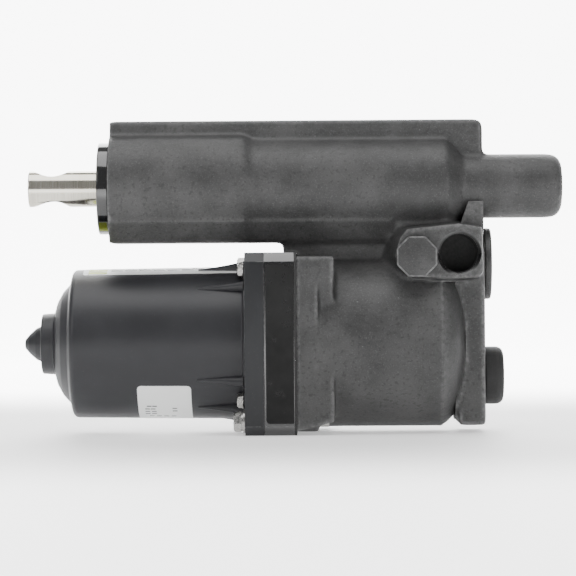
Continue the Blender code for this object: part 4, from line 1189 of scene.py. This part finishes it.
def makeSocketRims():
    # a turned countersink at each socket's mouth and a near-black drilled floor, which is painted shade deep in
    # the socket
    x, z = casting.socket
    face, mouth, bore = casting.lugFace, casting.socketChamferR, casting.socketR
    throat, wall = face - (mouth - bore), bore - 0.12 * mm
    rim = [(face - 0.6 * mm, mouth + 0.5 * mm, 0), (face + 0.02 * mm, mouth, 0.1 * mm),
           (throat, wall, 0.2 * mm), (throat - 0.9 * mm, wall, 0), (throat - 0.9 * mm, bore + 0.5 * mm, 0)]
    depth, wide = face - casting.socketDepth, bore + 0.1 * mm
    floor = [(depth + 0.1 * mm, 0, 0), (depth + 0.1 * mm, bore - 0.5 * mm, 0.3 * mm),
             (depth + 0.9 * mm, wide, 0), (depth - 0.5 * mm, wide, 0), (depth - 0.5 * mm, 0, 0)]
    for side, end in ((-1, "Front"), (1, "Back")):
        for profile, name, finish in ((rim, "socketRim", wornRim), (floor, "socketFloor", socketShadeDark)):
            shape = lathe(softened(profile, 4), 96, 0.0)
            turn = Matrix.Rotation(side * math.pi / 2, 4, "Z")
            shape.transform(Matrix.Translation((x, 0, z)) @ turn)
            finishPiece(shape, name + end, finish, sharp=30)


def makeThreads(c):
    # a screw thread down each trunnion socket's wall, in the near-black of the painted socket shade
    x, z = casting.socket
    outer, turns, steps = casting.socketR, 12, 48
    for side, name in ((-1, "socketThreadFront"), (1, "socketThreadBack")):
        rings = []
        for k in range(turns * steps + 1):
            angle = 2 * math.pi * k / steps
            middle = casting.lugFace - 2.6 * mm - c.threadPitch * k / steps
            root, across, up = outer + 0.15 * mm, math.cos(angle), math.sin(angle)
            section = [(root, middle - 0.7 * mm), (outer - c.threadDepth, middle), (root, middle + 0.7 * mm)]
            rings.append([(x + r * across, side * along, z + r * up) for r, along in section])
        finishPiece(loft(rings), name, socketShadeDark)


makePlug(fittings)
makeCaps(fittings)
makeThreads(fittings)
makeSocketRims()
print("plug, caps and threads done")


# labels

labels = {
    "low": {"x": (-85 * mm, -55.6 * mm), "turn": (-88, -33), "corner": 2.2 * mm},
    "top": {"x": (-115.5 * mm, -30 * mm), "turn": (67, 112), "corner": 1.2 * mm},
    "green": {"x": (-112.6 * mm, -102.4 * mm), "turn": (69, 110), "corner": 0.4 * mm},
    "thick": 0.1 * mm, "lift": 0.04 * mm,
    # bars by half their length and height, in rows of (first x, last x, count, turn)
    "marks": (
        ("labelLowMarks", (1.3, 0.5), (
            (-79, -76, 2, -55), (-80, -77, 2, -59), (-80, -76.5, 2, -63), (-80, -76.5, 2, -67),
            (-65, -65, 1, -58), (-65, -65, 1, -62), (-78, -66, 4, -73))),
        ("labelTopMarks", (3.2, 0.4), (
            (-97, -58, 6, 76), (-97, -52, 7, 80), (-97, -64, 5, 84), (-97, -46, 8, 88),
            (-97, -58, 6, 93), (-97, -50, 7, 98)))),
}


def canPatch(c, lift, thick, rows=28, columns=24):
    # a rounded oblong wrapped on the can; turn is measured up from the front
    radius = can.outerR + lift
    (x0, x1), (t0, t1), corner = c["x"], [math.radians(t) for t in c["turn"]], c["corner"]
    span = (t1 - t0) * radius
    bm = bmesh.new()
    grid = []
    for i in range(rows + 1):
        along = span * (0.5 - 0.5 * math.cos(math.pi * i / rows))
        short = max(corner - min(along, span - along), 0)
        inset = corner - math.sqrt(max(corner**2 - short**2, 0))
        turn = t0 + along / radius
        row = []
        for k in range(columns + 1):
            x = x0 + inset + (x1 - x0 - 2 * inset) * k / columns
            r = canRadius(x) + lift
            row.append(bm.verts.new((x, -r * math.cos(turn), motorZ + r * math.sin(turn))))
        grid.append(row)
    for lower, upper in zip(grid, grid[1:]):
        for k in range(columns):
            bm.faces.new((lower[k], lower[k + 1], upper[k + 1], upper[k]))
    sheet = holder(meshFrom(bm, "patch"))
    solid = sheet.modifiers.new("thick", "SOLIDIFY")
    solid.thickness = thick
    solid.offset = 0
    bm = bmesh.new()
    bm.from_mesh(evaluated(sheet))
    return meshFrom(bm, "label")


def inkBars(rows, lift):
    places = []
    for first, last, count, turn in rows:
        a = math.radians(turn)
        for k in range(count):
            x = (first + (last - first) * k / max(count - 1, 1)) * mm
            r = canRadius(x) + lift
            places.append((x, -r * math.cos(a), motorZ + r * math.sin(a), -a))
    return places


def makeLabels(c):
    lift, thick = c["lift"], c["thick"]
    finishPiece(canPatch(c["low"], lift, thick), "labelLow", paperWhite)
    finishPiece(canPatch(c["top"], lift, thick), "labelTop", paperWhite)
    finishPiece(canPatch(c["green"], lift + 0.08 * mm, thick), "labelPatch", paperGreen)
    for name, (long, tall), rows in c["marks"]:
        bar = boxMesh((-long * mm, -0.04 * mm, -tall * mm), (long * mm, 0.04 * mm, tall * mm))
        marks = repeated(bevelled(bar, 0.03 * mm, 1), inkBars(rows, lift + thick * 0.5), inkDark)
        finishPiece(marks, name, inkDark)


makeLabels(labels)
print("labels done")
